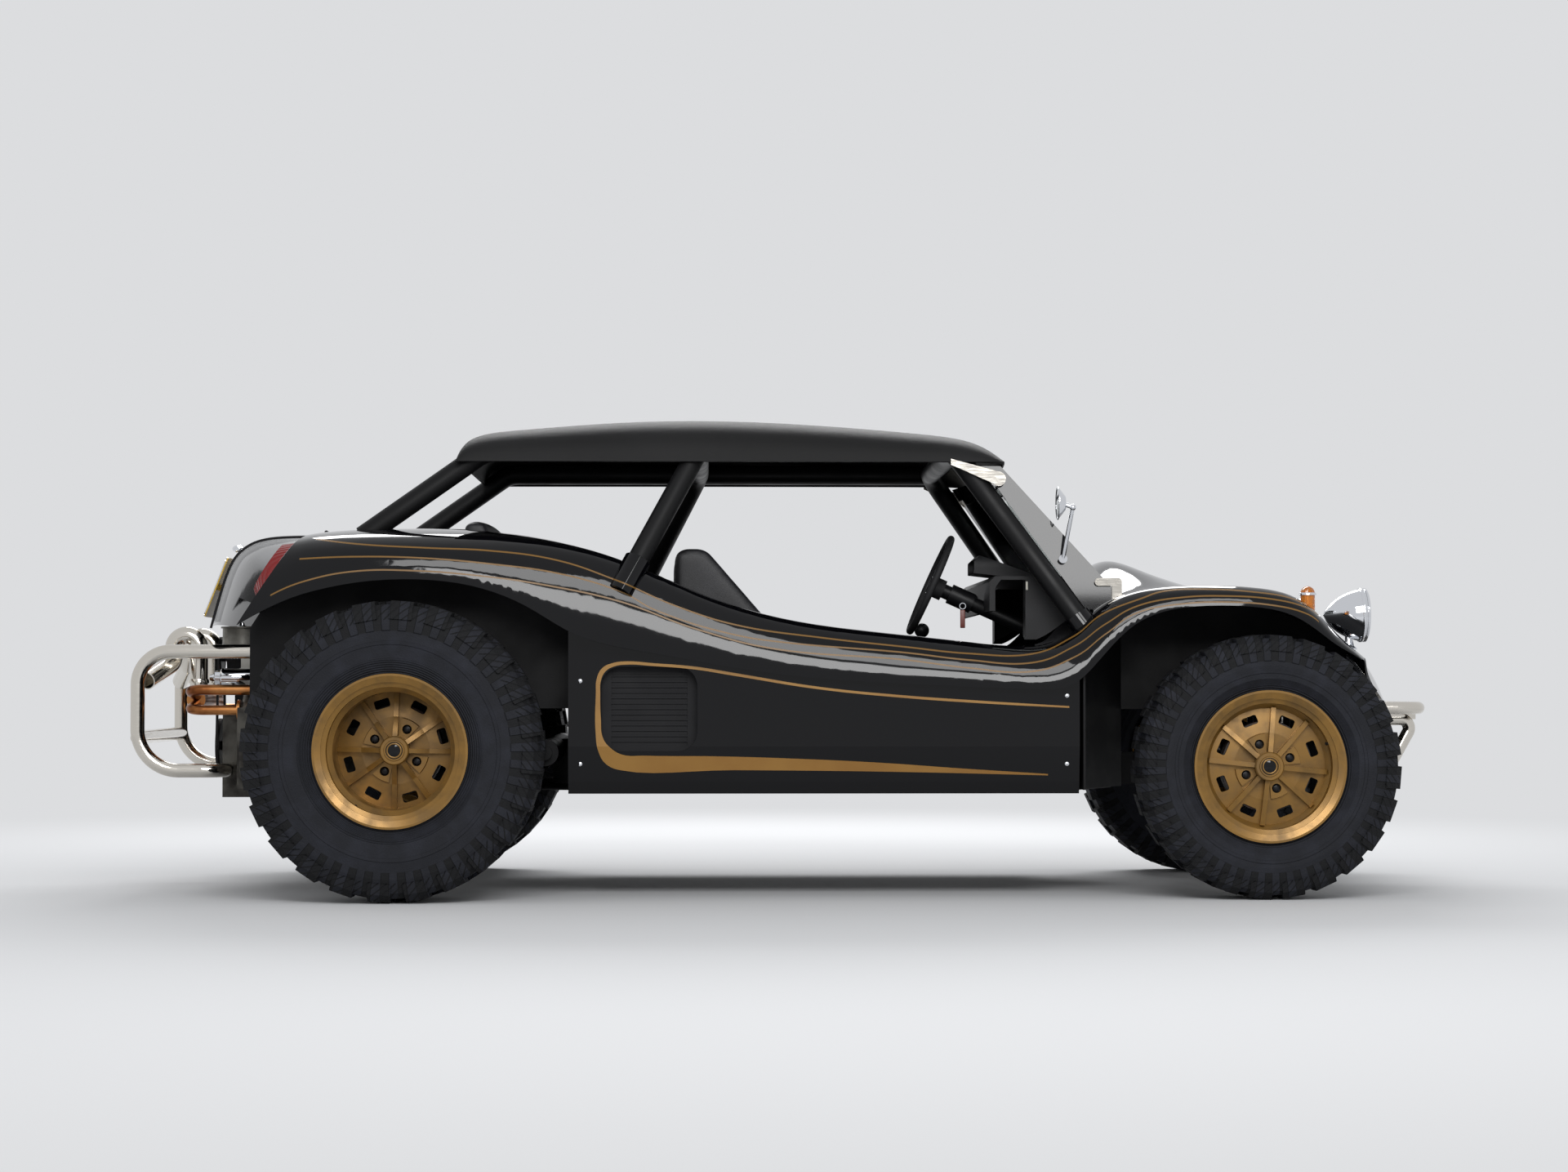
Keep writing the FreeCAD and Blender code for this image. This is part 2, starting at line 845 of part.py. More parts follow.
def tail_wedge(offset):
    """All that lies behind the slanted tail face, moved back by an offset."""
    slope = (tail_cut_top_x - tail_cut_bottom_x) / (tail_cut_top_z - tail_cut_bottom_z)
    far = rear_overhang * 2
    low_x = tail_cut_bottom_x - slope * (tail_cut_bottom_z - floor_z) - offset
    high_x = tail_cut_top_x + slope * (sky_z - tail_cut_top_z) - offset
    points = [(low_x, floor_z), (high_x, sky_z), (-far, sky_z), (-far, floor_z)]
    return across(points, -body_half * 2, body_half * 2)


def cage_places():
    """Foot and top of the right front pillar, main hoop and rear stay."""
    top = -cage_rail_half
    return {
        "pillar": (Vector(pillar_foot_x, -pillar_foot_half, pillar_foot_z),
                   Vector(pillar_top_x, top, cage_rail_z)),
        "hoop": (Vector(hoop_foot_x, -hoop_foot_half, hoop_foot_z), Vector(hoop_top_x, top, cage_rail_z)),
        "stay": (Vector(stay_foot_x, top, deck_height), Vector(stay_top_x, top, cage_rail_z)),
    }


def make_collar(foot, top):
    """Moulded ring round a cage tube where it meets the skin."""
    up = (top - foot).normalize()
    low = foot - up * collar_length
    line = Part.LineSegment(low, top).toShape().common(below_skin)
    surface = foot + up * (line.BoundBox.ZMax - foot.z) / up.z
    start = surface - up * collar_length * 2
    end = surface + up * collar_length / 2
    ring = rod(start, end, collar_radius).cut(rod(start, end, cage_radius + face_gap))
    return ring.cut(below_wall)


def hinge_parts(near_side):
    """Hinge knuckles and straps: the middle ones are the lid's, the outer ones the body's."""
    step = hinge_knuckle + hinge_side_gap
    parts = []
    for middle in (-hinge_y, hinge_y):
        for offset in ((0,) if near_side < 0 else (-step, step)):
            y0 = middle + offset - hinge_knuckle / 2
            y1 = y0 + hinge_knuckle
            barrel = cross_rod(hinge_x, hinge_z, y0, y1, hinge_radius)
            far_x = hinge_x + hinge_strap * near_side
            strap = box(min(hinge_x, far_x), max(hinge_x, far_x), y0, y1,
                        hinge_z - hinge_strap_drop, hinge_z - hinge_strap_drop + hinge_strap_sheet)
            parts.append(fused([barrel, strap]))
    return parts


def hinge_notches(near_side):
    """Room for the other side's knuckles."""
    step = hinge_knuckle + hinge_side_gap
    notches = []
    for middle in (-hinge_y, hinge_y):
        for offset in ((0,) if near_side < 0 else (-step, step)):
            y0 = middle + offset - hinge_knuckle / 2 - hinge_side_gap
            notches.append(cross_rod(hinge_x, hinge_z, y0, y0 + hinge_knuckle + hinge_side_gap * 2,
                                     hinge_radius + hinge_notch))
    return Part.makeCompound(notches)


def make_body_shell():
    skin = net_solid(outer_rows, inner_rows)
    lid_hole = box(-rear_overhang * 2, lid_top_x, -lid_half, lid_half, floor_z, sky_z)
    skin = skin.cut(cockpit_cut()).cut(lid_hole).cut(tail_wedge(0))
    under = net_solid(outer_rows, level_rows(outer_rows, floor_z))
    tail_slab = under.common(tail_wedge(-shell_wall)).cut(tail_wedge(0))
    keep = box(-rear_overhang, 0, lid_half, body_half * 2, tail_cut_bottom_z, sky_z)
    panels = tail_slab.common(keep)
    places = cage_places()
    collars = [make_collar(*places[name]) for name in ("pillar", "hoop")]
    sides = [panels] + collars
    body = fused([skin] + sides + [mirrored(piece) for piece in sides] + hinge_parts(1))
    return body.cut(hinge_notches(-1))


def make_cockpit_tub(floorpan):
    """Walls and bulkheads of the cabin, the arches behind it and the footwell, up to the skin."""
    half = [
        Vector(tub_rear_x, -tub_half_rear, 0),
        Vector(tub_step_rear_x, -tub_half_rear, 0),
        Vector(tub_step_front_x, -tub_half, 0),
        Vector(footwell_x, -tub_half, 0),
        Vector(bulkhead_x, -tub_nose_half, 0),
    ]
    ring = half + [Vector(p.x, -p.y, 0) for p in reversed(half)]
    inner = Part.makePolygon(ring + [ring[0]]).makeOffset2D(-tub_wall, 2)
    outer_wall = prism(ring, floor_z, sky_z)
    inner_wall = Part.Face(inner).extrude(Vector(0, 0, sky_z))
    walls = outer_wall.cut(inner_wall)
    walls = walls.cut(box(0, seat_riser_x - overrun, -body_half, body_half, 0, seat_pan_z - tub_wall))
    pan = prism(half[:3] + [Vector(seat_riser_x, -tub_half, 0), Vector(seat_riser_x, tub_half, 0)]
                + [Vector(p.x, -p.y, 0) for p in reversed(half[:3])], seat_pan_z - tub_wall, seat_pan_z)
    riser = box(seat_riser_x - tub_wall, seat_riser_x, -tub_half, tub_half, floor_z, seat_pan_z)
    nose = [
        box(bulkhead_x - tub_wall, nose_wall_front_x, tub_nose_half - tub_wall, tub_nose_half,
            nose_wall_z, sky_z),
        box(arch_wall_rear_x, tub_rear_x + tub_wall, tub_half_rear - tub_wall, tub_half_rear, arch_wall_z,
            sky_z),
        box(footwell_x, footwell_x + tub_wall, tub_half - tub_wall, pod_face_y, floor_z, sky_z),
    ]
    walls = walls.cut(box(0, seat_riser_x - tub_wall, -body_half, body_half, 0, seat_pan_z - tub_wall))
    pieces = [walls, pan, riser] + nose + [mirrored(piece) for piece in nose]
    tub = fused(pieces).cut(above_skin).cut(tail_wedge(-shell_wall))
    return tub.cut(column_hole()).cut(floorpan)


def column_axis():
    return Vector(math.cos(math.radians(column_tilt)), 0, -math.sin(math.radians(column_tilt)))


def wheel_centre():
    return Vector(wheel_hub_x, driver_y, wheel_hub_z)


def column_hole():
    start = wheel_centre()
    return rod(start, start + column_axis() * wheelbase / 2, column_radius)


def make_floorpan():
    """Steel pan with its tunnel, frame head, torsion tube and the fork that carries the gearbox."""
    pan = [
        Vector(floor_rear_x, -torsion_half, 0),
        Vector(seat_riser_x, -floor_half, 0),
        Vector(footwell_x - tub_wall, -floor_half, 0),
        Vector(floor_front_x, -tub_nose_half, 0),
    ]
    ring = pan + [Vector(p.x, -p.y, 0) for p in reversed(pan)]
    sheet = prism(ring, floor_z - floor_sheet, floor_z - face_gap)
    tunnel_top = floor_z + tunnel_height
    tunnel = box(torsion_x, floor_front_x, -tunnel_half, tunnel_half, floor_z - floor_sheet, tunnel_top)
    top_edges = []
    for edge in tunnel.Edges:
        if edge.BoundBox.ZMin > tunnel_top - overrun and edge.BoundBox.YLength < face_gap:
            top_edges.append(edge)
    tunnel = tunnel.makeFillet(tunnel_half / 2, top_edges)
    tunnel = tunnel.cut(box(seat_riser_x - tub_wall - face_gap, seat_riser_x + face_gap, -body_half,
                            body_half,
                            floor_z - face_gap, sky_z))
    head = box(floor_front_x - overrun, beam_x - beam_tube_radius, -frame_head_half, frame_head_half,
               floor_z - floor_sheet, floor_z + frame_head_height)
    tube = cross_rod(torsion_x, torsion_z, -torsion_half, torsion_half, torsion_radius)
    caps = cross_rod(torsion_x, torsion_z, -torsion_half - overrun, torsion_half + overrun,
                     torsion_cap_radius)
    fork_z = crank_z - fork_drop
    horn = pipe([Vector(torsion_x, tunnel_half, torsion_z), Vector(gearbox_nose_x, fork_half, fork_z),
                 Vector(engine_front_x + yoke_sheet, fork_half, fork_z)], fork_radius, [fork_radius * 2])
    yoke = box(engine_front_x + face_gap, engine_front_x + yoke_sheet, -fork_half, fork_half,
               fork_z - fork_radius, crank_z)
    yoke = yoke.cut(rod(Vector(engine_front_x - overrun, 0, crank_z),
                        Vector(engine_front_x + overrun, 0, crank_z),
                        gearbox_bell_radius + face_gap))
    return fused([sheet, tunnel, head, tube, caps, horn, mirrored(horn), yoke])


def make_side_pod():
    """Right side box between the wheels, with its tucked-in foot and its vent recess."""
    section = outline([
        Vector(pod_rear_x, -pod_face_y, deck_height),
        Vector(pod_rear_x, -pod_face_y, pod_bottom_z + pod_curve_height),
        Vector(pod_rear_x, -pod_foot_y, pod_bottom_z + pod_ledge_height),
        Vector(pod_rear_x, -pod_face_y + pod_keel_inset, pod_bottom_z),
        Vector(pod_rear_x, -pod_inner_y, pod_bottom_z),
        Vector(pod_rear_x, -pod_inner_y, deck_height),
    ])
    pod = section.extrude(Vector(pod_front_x - pod_rear_x, 0, 0))
    return pod.cut(above_skin).cut(vent_prism(0, vent_depth))


def vent_prism(margin, depth):
    """The vent's rounded shape, sunk into the pod's face."""
    y = -pod_face_y - overrun
    points = [
        Vector(vent_x + margin, y, vent_z + margin),
        Vector(vent_x + vent_length - margin, y, vent_z + margin),
        Vector(vent_x + vent_length - margin, y, vent_z + vent_height - margin),
        Vector(vent_x + margin, y, vent_z + vent_height - margin),
    ]
    return rounded_outline(points, vent_corner - margin).extrude(Vector(0, overrun + depth, 0))


def make_vent_grille():
    slab = vent_prism(face_gap, vent_depth - face_gap).cut(
        vent_prism(0, vent_depth - grille_sheet - face_gap))
    slots = []
    z = vent_z + grille_pitch
    while z < vent_z + vent_height - grille_pitch:
        slots.append(box(vent_x + vent_corner / 2, vent_x + vent_length - vent_corner / 2, -pod_face_y,
                         -pod_face_y + vent_depth - grille_slat, z, z + grille_pitch - grille_slat))
        z += grille_pitch
    return slab.cut(Part.makeCompound(slots))


# Engine lid: shares of its reach back and of its fall, and how far its sides drop.
lid_profile_shares = [(0.0, 1.0), (0.25, 1.0), (0.5, 0.985), (0.68, 0.87), (0.8, 0.7), (0.88, 0.38),
                      (0.965, 0.0)]
lid_width_shares = [(1.0, 0.07), (0.86, 0.045), (0.45, 0.012), (0.0, 0.0)]


def make_engine_lid():
    """Curved tail lid between the rear wings, with its share of the hinges."""
    rows = []
    for back, up in lid_profile_shares:
        half = []
        for width, drop in lid_width_shares:
            reach = lid_reach * back * (1 - lid_nose_pinch * width * width)
            half.append(Vector(lid_top_x - lid_shut_line - reach, -(lid_half - lid_shut_line) * width,
                               lid_bottom_z + lid_fall * (up - drop)))
        rows.append(both_halves(half))
    rows.reverse()
    panel = net_solid(rows, inset(rows, lid_wall))
    return fused([panel.cut(hinge_notches(1))] + hinge_parts(-1))


# Roof: shares of its length and rise along the middle, and of its half width and height across.
roof_length_shares = [0.0, 0.004, 0.03, 0.12, 0.3, 0.5, 0.7, 0.85, 0.94, 0.98, 1.0]
roof_rise_shares = [0.02, 0.45, 0.72, 0.80, 0.99, 1.02, 0.88, 0.72, 0.60, 0.30, 0.04]
roof_width_shares = [(1.0, 0.0), (0.99, 0.3), (0.95, 0.66), (0.75, 0.93), (0.4, 1.0), (0.0, 1.02)]


def roof_rows():
    """The roof's outer net, from skirt to skirt."""
    rows = []
    for along, rise in zip(roof_length_shares, roof_rise_shares):
        half = []
        for width, height in roof_width_shares:
            bow = roof_bow * along * along * (1 - width * width)
            half.append(Vector(between(roof_rear_x, roof_front_x, along) + bow, -roof_half * width,
                               roof_edge_z + roof_crown * height * rise))
        rows.append(both_halves(half))
    return rows


roof_inner_rows = inset(roof_rows(), roof_wall)
above_roof = net_solid(level_rows(roof_inner_rows, sky_z), roof_inner_rows)


def make_hardtop():
    """Moulded roof, open below."""
    return net_solid(roof_rows(), roof_inner_rows)


def make_roll_cage(roof):
    """Main hoop, front pillars, roof rails and rear stays."""
    places = cage_places()
    bends = [cage_bend, cage_bend]
    tubes = []
    for name in ("hoop", "pillar"):
        foot, top = places[name]
        far_foot = Vector(foot.x, -foot.y, foot.z)
        far_top = Vector(top.x, -top.y, top.z)
        tubes.append(pipe([foot, top, far_top, far_foot], cage_radius, bends))
    stay_foot, stay_top = places["stay"]
    side = pipe([stay_foot, stay_top, places["pillar"][1]], cage_radius, [cage_bend])
    cage = fused(tubes + [side, mirrored(side)])
    return cage.cut(below_skin).cut(above_roof).cut(roof)


def screen_rows(side_margin, foot_share, head_share, behind_foot, behind_head):
    """The windscreen's bowed surface between two heights, set back from its front face."""
    rows = []
    for share, behind in ((foot_share, behind_foot), (head_share, behind_head)):
        x = between(wheelbase - screen_base_gap, wheelbase - screen_top_gap, share) - behind
        z = between(deck_height - screen_base_drop, deck_height + screen_top_rise, share)
        half = between(screen_base_half, screen_top_half, share) - side_margin
        line = []
        for across_share in screen_across_shares:
            bow = screen_bow * (1 - across_share * across_share)
            line.append(Vector(x + bow, half * across_share, z))
        rows.append(line)
    return rows


def make_windscreen_frame(roof):
    """Deep frame that leans back, thicker at its foot."""
    slab = net_solid(screen_rows(0, 0, 1, 0, 0), screen_rows(0, 0, 1, screen_base_depth, screen_top_depth))
    hole = net_solid(screen_rows(screen_band, screen_foot_share, screen_head_share, -overrun, -overrun),
                     screen_rows(screen_band, screen_foot_share, screen_head_share,
                                 screen_base_depth + overrun, screen_base_depth))
    return slab.cut(hole).cut(below_skin).cut(above_roof).cut(roof)


def make_windscreen_glass():
    behind = screen_glass_inset + screen_glass
    pane = net_solid(
        screen_rows(screen_band, screen_foot_share, screen_head_share, screen_glass_inset,
                    screen_glass_inset),
        screen_rows(screen_band, screen_foot_share, screen_head_share, behind, behind))
    return pane.cut(below_skin)


def make_screen_brackets(frame, roof, cage):
    """Polished links from the roof to the screen's head, and the clamps at its foot."""
    y0 = -screen_top_half - bracket_stand - bracket_sheet
    y1 = -screen_top_half - bracket_stand
    eye_x = wheelbase - bracket_eye_gap
    eye_z = deck_height + bracket_eye_rise
    tail_x = eye_x - bracket_tail_length
    tail_z = eye_z + bracket_tail_rise
    link = across([(tail_x, tail_z), (tail_x, tail_z - bracket_tail_height),
                   (eye_x, eye_z - bracket_eye_radius),
                   (eye_x, eye_z + bracket_eye_radius)], y0, y1)
    eye = cross_rod(eye_x, eye_z, y0, -screen_top_half + bracket_sheet, bracket_eye_radius)
    bolt = cross_rod(eye_x, eye_z, y0 - bracket_bolt_head, y1, bracket_bolt_radius)
    head = fused([link, eye, bolt]).cut(frame).cut(roof).cut(above_roof).cut(cage)
    head = max(head.Solids, key=lambda solid: solid.Volume)
    rear_x = wheelbase - clamp_rear_gap
    z = deck_height - clamp_drop
    y0 = -screen_base_half - bracket_sheet / 2
    y1 = -screen_base_half + bracket_sheet
    link = rounded_across([(rear_x, z), (rear_x + clamp_length, z),
                           (rear_x + clamp_length, z + clamp_height),
                           (rear_x, z + clamp_height)], clamp_height / 2 - running_fit, y0, y1)
    foot = box(rear_x + clamp_length - clamp_foot_length, rear_x + clamp_length, y0, y1,
               z - clamp_foot_height, z + clamp_height / 2)
    bolts = [cross_rod(rear_x + clamp_length * share, z + clamp_height / 2, y0 - bracket_bolt_head, y1,
                       bracket_bolt_radius) for share in clamp_bolt_shares]
    clamp = fused([link, foot] + bolts).cut(frame).cut(below_skin)
    clamp = max(clamp.Solids, key=lambda solid: solid.Volume)
    return Part.makeCompound([head, clamp, mirrored(head), mirrored(clamp)])


def make_dashboard(frame):
    """Padded panel with its top shelf, end boxes and the hooded instrument housing."""
    low_z = dash_top_z - dash_height
    panel = across([
        (dash_rear_x, low_z), (dash_rear_x, dash_top_z - dash_edge), (dash_rear_x + dash_edge, dash_top_z),
        (dash_front_x, dash_top_z), (dash_front_x, dash_top_z - dash_wall),
        (dash_rear_x + dash_edge * 2, dash_top_z - dash_wall),
        (dash_rear_x + dash_edge, dash_top_z - dash_edge * 2),
        (dash_rear_x + dash_edge, low_z),
    ], -dash_half, dash_half)
    box_x = wheelbase - dash_box_gap
    ends = box(box_x, box_x + dash_box_length, -dash_half, -dash_half + dash_box_width,
               dash_top_z - dash_box_height, dash_top_z - running_fit)
    hood_top = dash_top_z + binnacle_rise
    hood_x = dash_rear_x - binnacle_overhang
    side = across([
        (hood_x, hood_top - binnacle_rear_height), (hood_x, hood_top - binnacle_corner / 2),
        (hood_x + binnacle_corner / 2, hood_top), (hood_x + binnacle_length, dash_top_z),
        (hood_x + binnacle_length, dash_top_z - dash_wall),
    ], driver_y - binnacle_half, driver_y + binnacle_half)
    section = rounded_outline([
        Vector(hood_x - overrun, driver_y - binnacle_half, dash_top_z - dash_wall * 4),
        Vector(hood_x - overrun, driver_y + binnacle_half, dash_top_z - dash_wall * 4),
        Vector(hood_x - overrun, driver_y + binnacle_half, hood_top),
        Vector(hood_x - overrun, driver_y - binnacle_half, hood_top),
    ], binnacle_corner).extrude(Vector(binnacle_length + overrun * 2, 0, 0))
    recess = rounded_outline([
        Vector(hood_x - overrun, driver_y - binnacle_half + binnacle_wall, hood_top - binnacle_rear_height),
        Vector(hood_x - overrun, driver_y + binnacle_half - binnacle_wall, hood_top - binnacle_rear_height),
        Vector(hood_x - overrun, driver_y + binnacle_half - binnacle_wall, hood_top - binnacle_wall),
        Vector(hood_x - overrun, driver_y - binnacle_half + binnacle_wall, hood_top - binnacle_wall),
    ], binnacle_wall * 2).extrude(Vector(overrun + binnacle_recess, 0, 0))
    hood = side.common(section).cut(recess)
    return fused([panel, ends, mirrored(ends), hood]).cut(column_hole()).cut(below_skin).cut(frame)


def make_steering_column(beam):
    """Shrouded column, its shaft to the nose and the steering box on the upper beam tube."""
    away = column_axis()
    start = wheel_centre() + away * (steering_boss_length + face_gap)
    shroud = rod(start + away * overrun, start + away * column_shroud_length, column_shroud_radius)
    jacket = rod(start, wheel_centre() + away * column_jacket_length, column_radius - face_gap)
    end = wheel_centre() + away * column_length
    shaft = rod(start, end, column_shaft_radius)
    front_x = beam_x - beam_tube_radius / 2
    case = box(front_x - steering_box_length, front_x, driver_y - steering_box_half,
               driver_y + steering_box_half,
               end.z - steering_box_height / 2, end.z + steering_box_height / 2)
    return fused([shroud, jacket, shaft, case.cut(beam)])


def make_steering_wheel():
    """Rim on three drilled spokes."""
    centre = wheel_centre()
    away = column_axis()
    grip = Part.makeTorus(steering_wheel_radius, steering_grip_radius, centre, away)
    boss = rod(centre, centre + away * steering_boss_length, steering_boss_radius)
    spokes = []
    for index in range(spoke_count):
        spoke = Part.makeBox(steering_spoke_sheet, steering_spoke_width, steering_wheel_radius,
                             Vector(0, -steering_spoke_width / 2, 0))
        for share in spoke_hole_shares:
            z = steering_wheel_radius * share
            spoke = spoke.cut(rod(Vector(-overrun, 0, z), Vector(overrun, 0, z), spoke_hole_radius))
        spoke.rotate(Vector(0, 0, 0), axis_x, 360 / spoke_count * index + 180)
        spoke.rotate(Vector(0, 0, 0), axis_y, column_tilt)
        spoke.translate(centre)
        spokes.append(spoke)
    return fused([grip, boss] + spokes)


def make_front_seat():
    """Right bucket seat: two raised sides, the hollow between them and the runners below."""
    top_front_x = seat_rear_x + seat_top_length
    sides = [
        (seat_rear_x, seat_bottom_z), (seat_front_x, seat_bottom_z), (seat_front_x, seat_cushion_z),
        (seat_bolster_front_x, seat_cushion_z + seat_hollow), (seat_bolster_knee_x, seat_bolster_knee_z),
        (top_front_x, seat_top_z), (seat_rear_x, seat_top_z),
    ]
    middle = [
        (seat_rear_x, seat_bottom_z), (seat_front_x, seat_bottom_z), (seat_front_x, seat_cushion_z),
        (seat_bolster_knee_x - seat_hollow, seat_cushion_z + seat_corner),
        (top_front_x, seat_top_z - seat_hollow / 2), (seat_rear_x, seat_top_z),
    ]
    outer = seat_y + seat_half
    inner = seat_y - seat_half
    pieces = [rounded_across(middle, seat_corner, -outer + seat_bolster / 2, -inner - seat_bolster / 2)]
    for edge in (outer, inner + seat_bolster):
        pieces.append(rounded_across(sides, seat_corner, -edge, -edge + seat_bolster))
    for y in (-seat_y - seat_runner_half, -seat_y + seat_runner_half):
        pieces.append(box(seat_rear_x + seat_corner, seat_front_x - seat_corner * 2, y - seat_runner,
                          y + seat_runner,
                          floor_z, seat_bottom_z + running_fit))
    return fused(pieces)


def make_rear_bench():
    rear_x = cockpit_rear_x + bench_gap
    low_z = seat_pan_z + face_gap
    cushion = rounded_across([
        (bench_back_foot_x, low_z), (bench_front_x, low_z), (bench_front_x, low_z + bench_cushion_height),
        (bench_back_foot_x, low_z + bench_cushion_height),
    ], bench_corner, -bench_half, bench_half)
    back = rounded_across([
        (bench_back_foot_x, low_z), (bench_back_foot_x + bench_back_depth, low_z),
        (rear_x + bench_top_depth, bench_top_z), (rear_x, bench_top_z),
    ], bench_corner, -bench_half, bench_half)
    return fused([cushion, back])


def make_controls(floorpan):
    """Gear lever, hand brake and the three pedals."""
    tunnel_top = floor_z + tunnel_height
    knob = Vector(wheelbase - gear_knob_gap, 0, gear_knob_z)
    lever = fused([rod(Vector(wheelbase - gear_lever_foot_gap, 0, tunnel_top - running_fit), knob,
                       gear_lever_radius),
                   Part.makeSphere(gear_knob_radius, knob)])
    brake_foot = Vector(wheelbase - brake_lever_foot_gap, 0, tunnel_top - brake_lever_radius / 2)
    brake = rod(brake_foot, brake_foot + Vector(-brake_lever_length, 0, brake_lever_rise),
                brake_lever_radius)
    pieces = [lever, brake]
    pad_x = wheelbase - pedal_gap
    for index in (-1, 0, 1):
        y = driver_y + pedal_spacing * index
        arm = rod(Vector(pad_x, y, floor_z), Vector(pad_x, y, floor_z + pedal_height), pedal_arm_radius)
        pad = box(pad_x - pedal_arm_radius, pad_x, y - pedal_pad_width / 2, y + pedal_pad_width / 2,
                  floor_z + pedal_height - pedal_pad_length, floor_z + pedal_height)
        pieces.append(fused([arm, pad]))
    return Part.makeCompound([piece.cut(floorpan) for piece in pieces])


def make_front_beam():
    """Two cross tubes, their end plates and damper towers, and the trailing arms."""
    pieces = []
    for sign in (1, -1):
        z = front_axle_z + beam_tube_rise * sign
        pieces.append(cross_rod(beam_x, z, -beam_half, beam_half, beam_tube_radius))
        for side in (1, -1):
            root = Vector(beam_x, beam_half * side, z)
            boss = rod(root, root + axis_y * (beam_arm_boss * side), beam_arm_boss)
            eye_z = front_axle_z + (kingpin_height / 2 + beam_arm_eye_height / 2 + face_gap) * sign
            start = root + axis_y * (beam_arm_boss * side / 2)
            end = Vector(wheelbase, kingpin_y * side, eye_z)
            arm = rod(start, end, beam_arm_root_radius, beam_arm_tip_radius)
            eye = upright(end.x, end.y, eye_z - beam_arm_eye_height / 2, eye_z + beam_arm_eye_height / 2,
                          beam_arm_eye_radius)
            pin_hole = upright(end.x, end.y, 0, sky_z, ball_pin_radius + running_fit)
            pieces.append(fused([boss, arm, eye]).cut(pin_hole))
    low = front_axle_z - beam_tube_rise - beam_tube_radius
    plates = [
        (beam_plate_y, front_axle_z + beam_tube_rise + shock_tower_height),
        (front_bumper_leg_y, front_bumper_leg_z + overrun),
    ]
    for y, top in plates:
        for side in (1, -1):
            pieces.append(box(beam_x - beam_plate_reach, beam_x + beam_plate_reach,
                              y * side - beam_plate / 2, y * side + beam_plate / 2, low, top))
    return fused(pieces)


def make_knuckle():
    """Right steering knuckle: kingpin, spindle and steering arm."""
    centre = Vector(wheelbase, -kingpin_y, front_axle_z)
    half = kingpin_height / 2
    pin = upright(centre.x, centre.y, centre.z - half, centre.z + half, kingpin_radius)
    joint = upright(centre.x, centre.y, centre.z - half - ball_pin_length, centre.z + half + ball_pin_length,
                    ball_pin_radius)
    spindle = rod(centre, Vector(wheelbase, -front_disc_y + rim_disc + face_gap, front_axle_z),
                  spindle_radius)
    eye = Vector(wheelbase - steering_arm_reach, -kingpin_y + steering_arm_inset,
                 front_axle_z + steering_arm_rise)
    root = centre + axis_z * steering_arm_rise
    half_width = Vector(0, steering_arm_width / 2, 0)
    arm = outline([root - half_width, root + half_width, eye + half_width, eye - half_width])
    arm = arm.extrude(Vector(0, 0, steering_arm_height))
    end = upright(eye.x, eye.y, eye.z, eye.z + steering_arm_height, track_rod_eye_radius)
    return fused([pin, joint, spindle, arm, end])


def make_track_rod():
    z = front_axle_z + steering_arm_rise + steering_arm_height + face_gap
    x = wheelbase - steering_arm_reach
    y = kingpin_y - steering_arm_inset
    bar = cross_rod(x, z + track_rod_eye_height / 2, -y, y, track_rod_radius)
    eyes = [upright(x, y * side, z, z + track_rod_eye_height, track_rod_eye_radius) for side in (1, -1)]
    return fused([bar] + eyes)


def revolved(points, place, angle=360):
    """Turn a closed (along, radius) outline about the wheel's axis, which points outwards along -Y."""
    face = outline([Vector(0, -along, radius) for along, radius in points])
    solid = face.revolve(Vector(0, 0, 0), axis_y, angle)
    solid.translate(place)
    return solid


def turned(shape, angle, place):
    """A shape drawn at the wheel's top, turned clockwise as seen from the right and put in place."""
    copy = shape.copy()
    copy.rotate(Vector(0, 0, 0), axis_y, angle)
    copy.translate(place)
    return copy


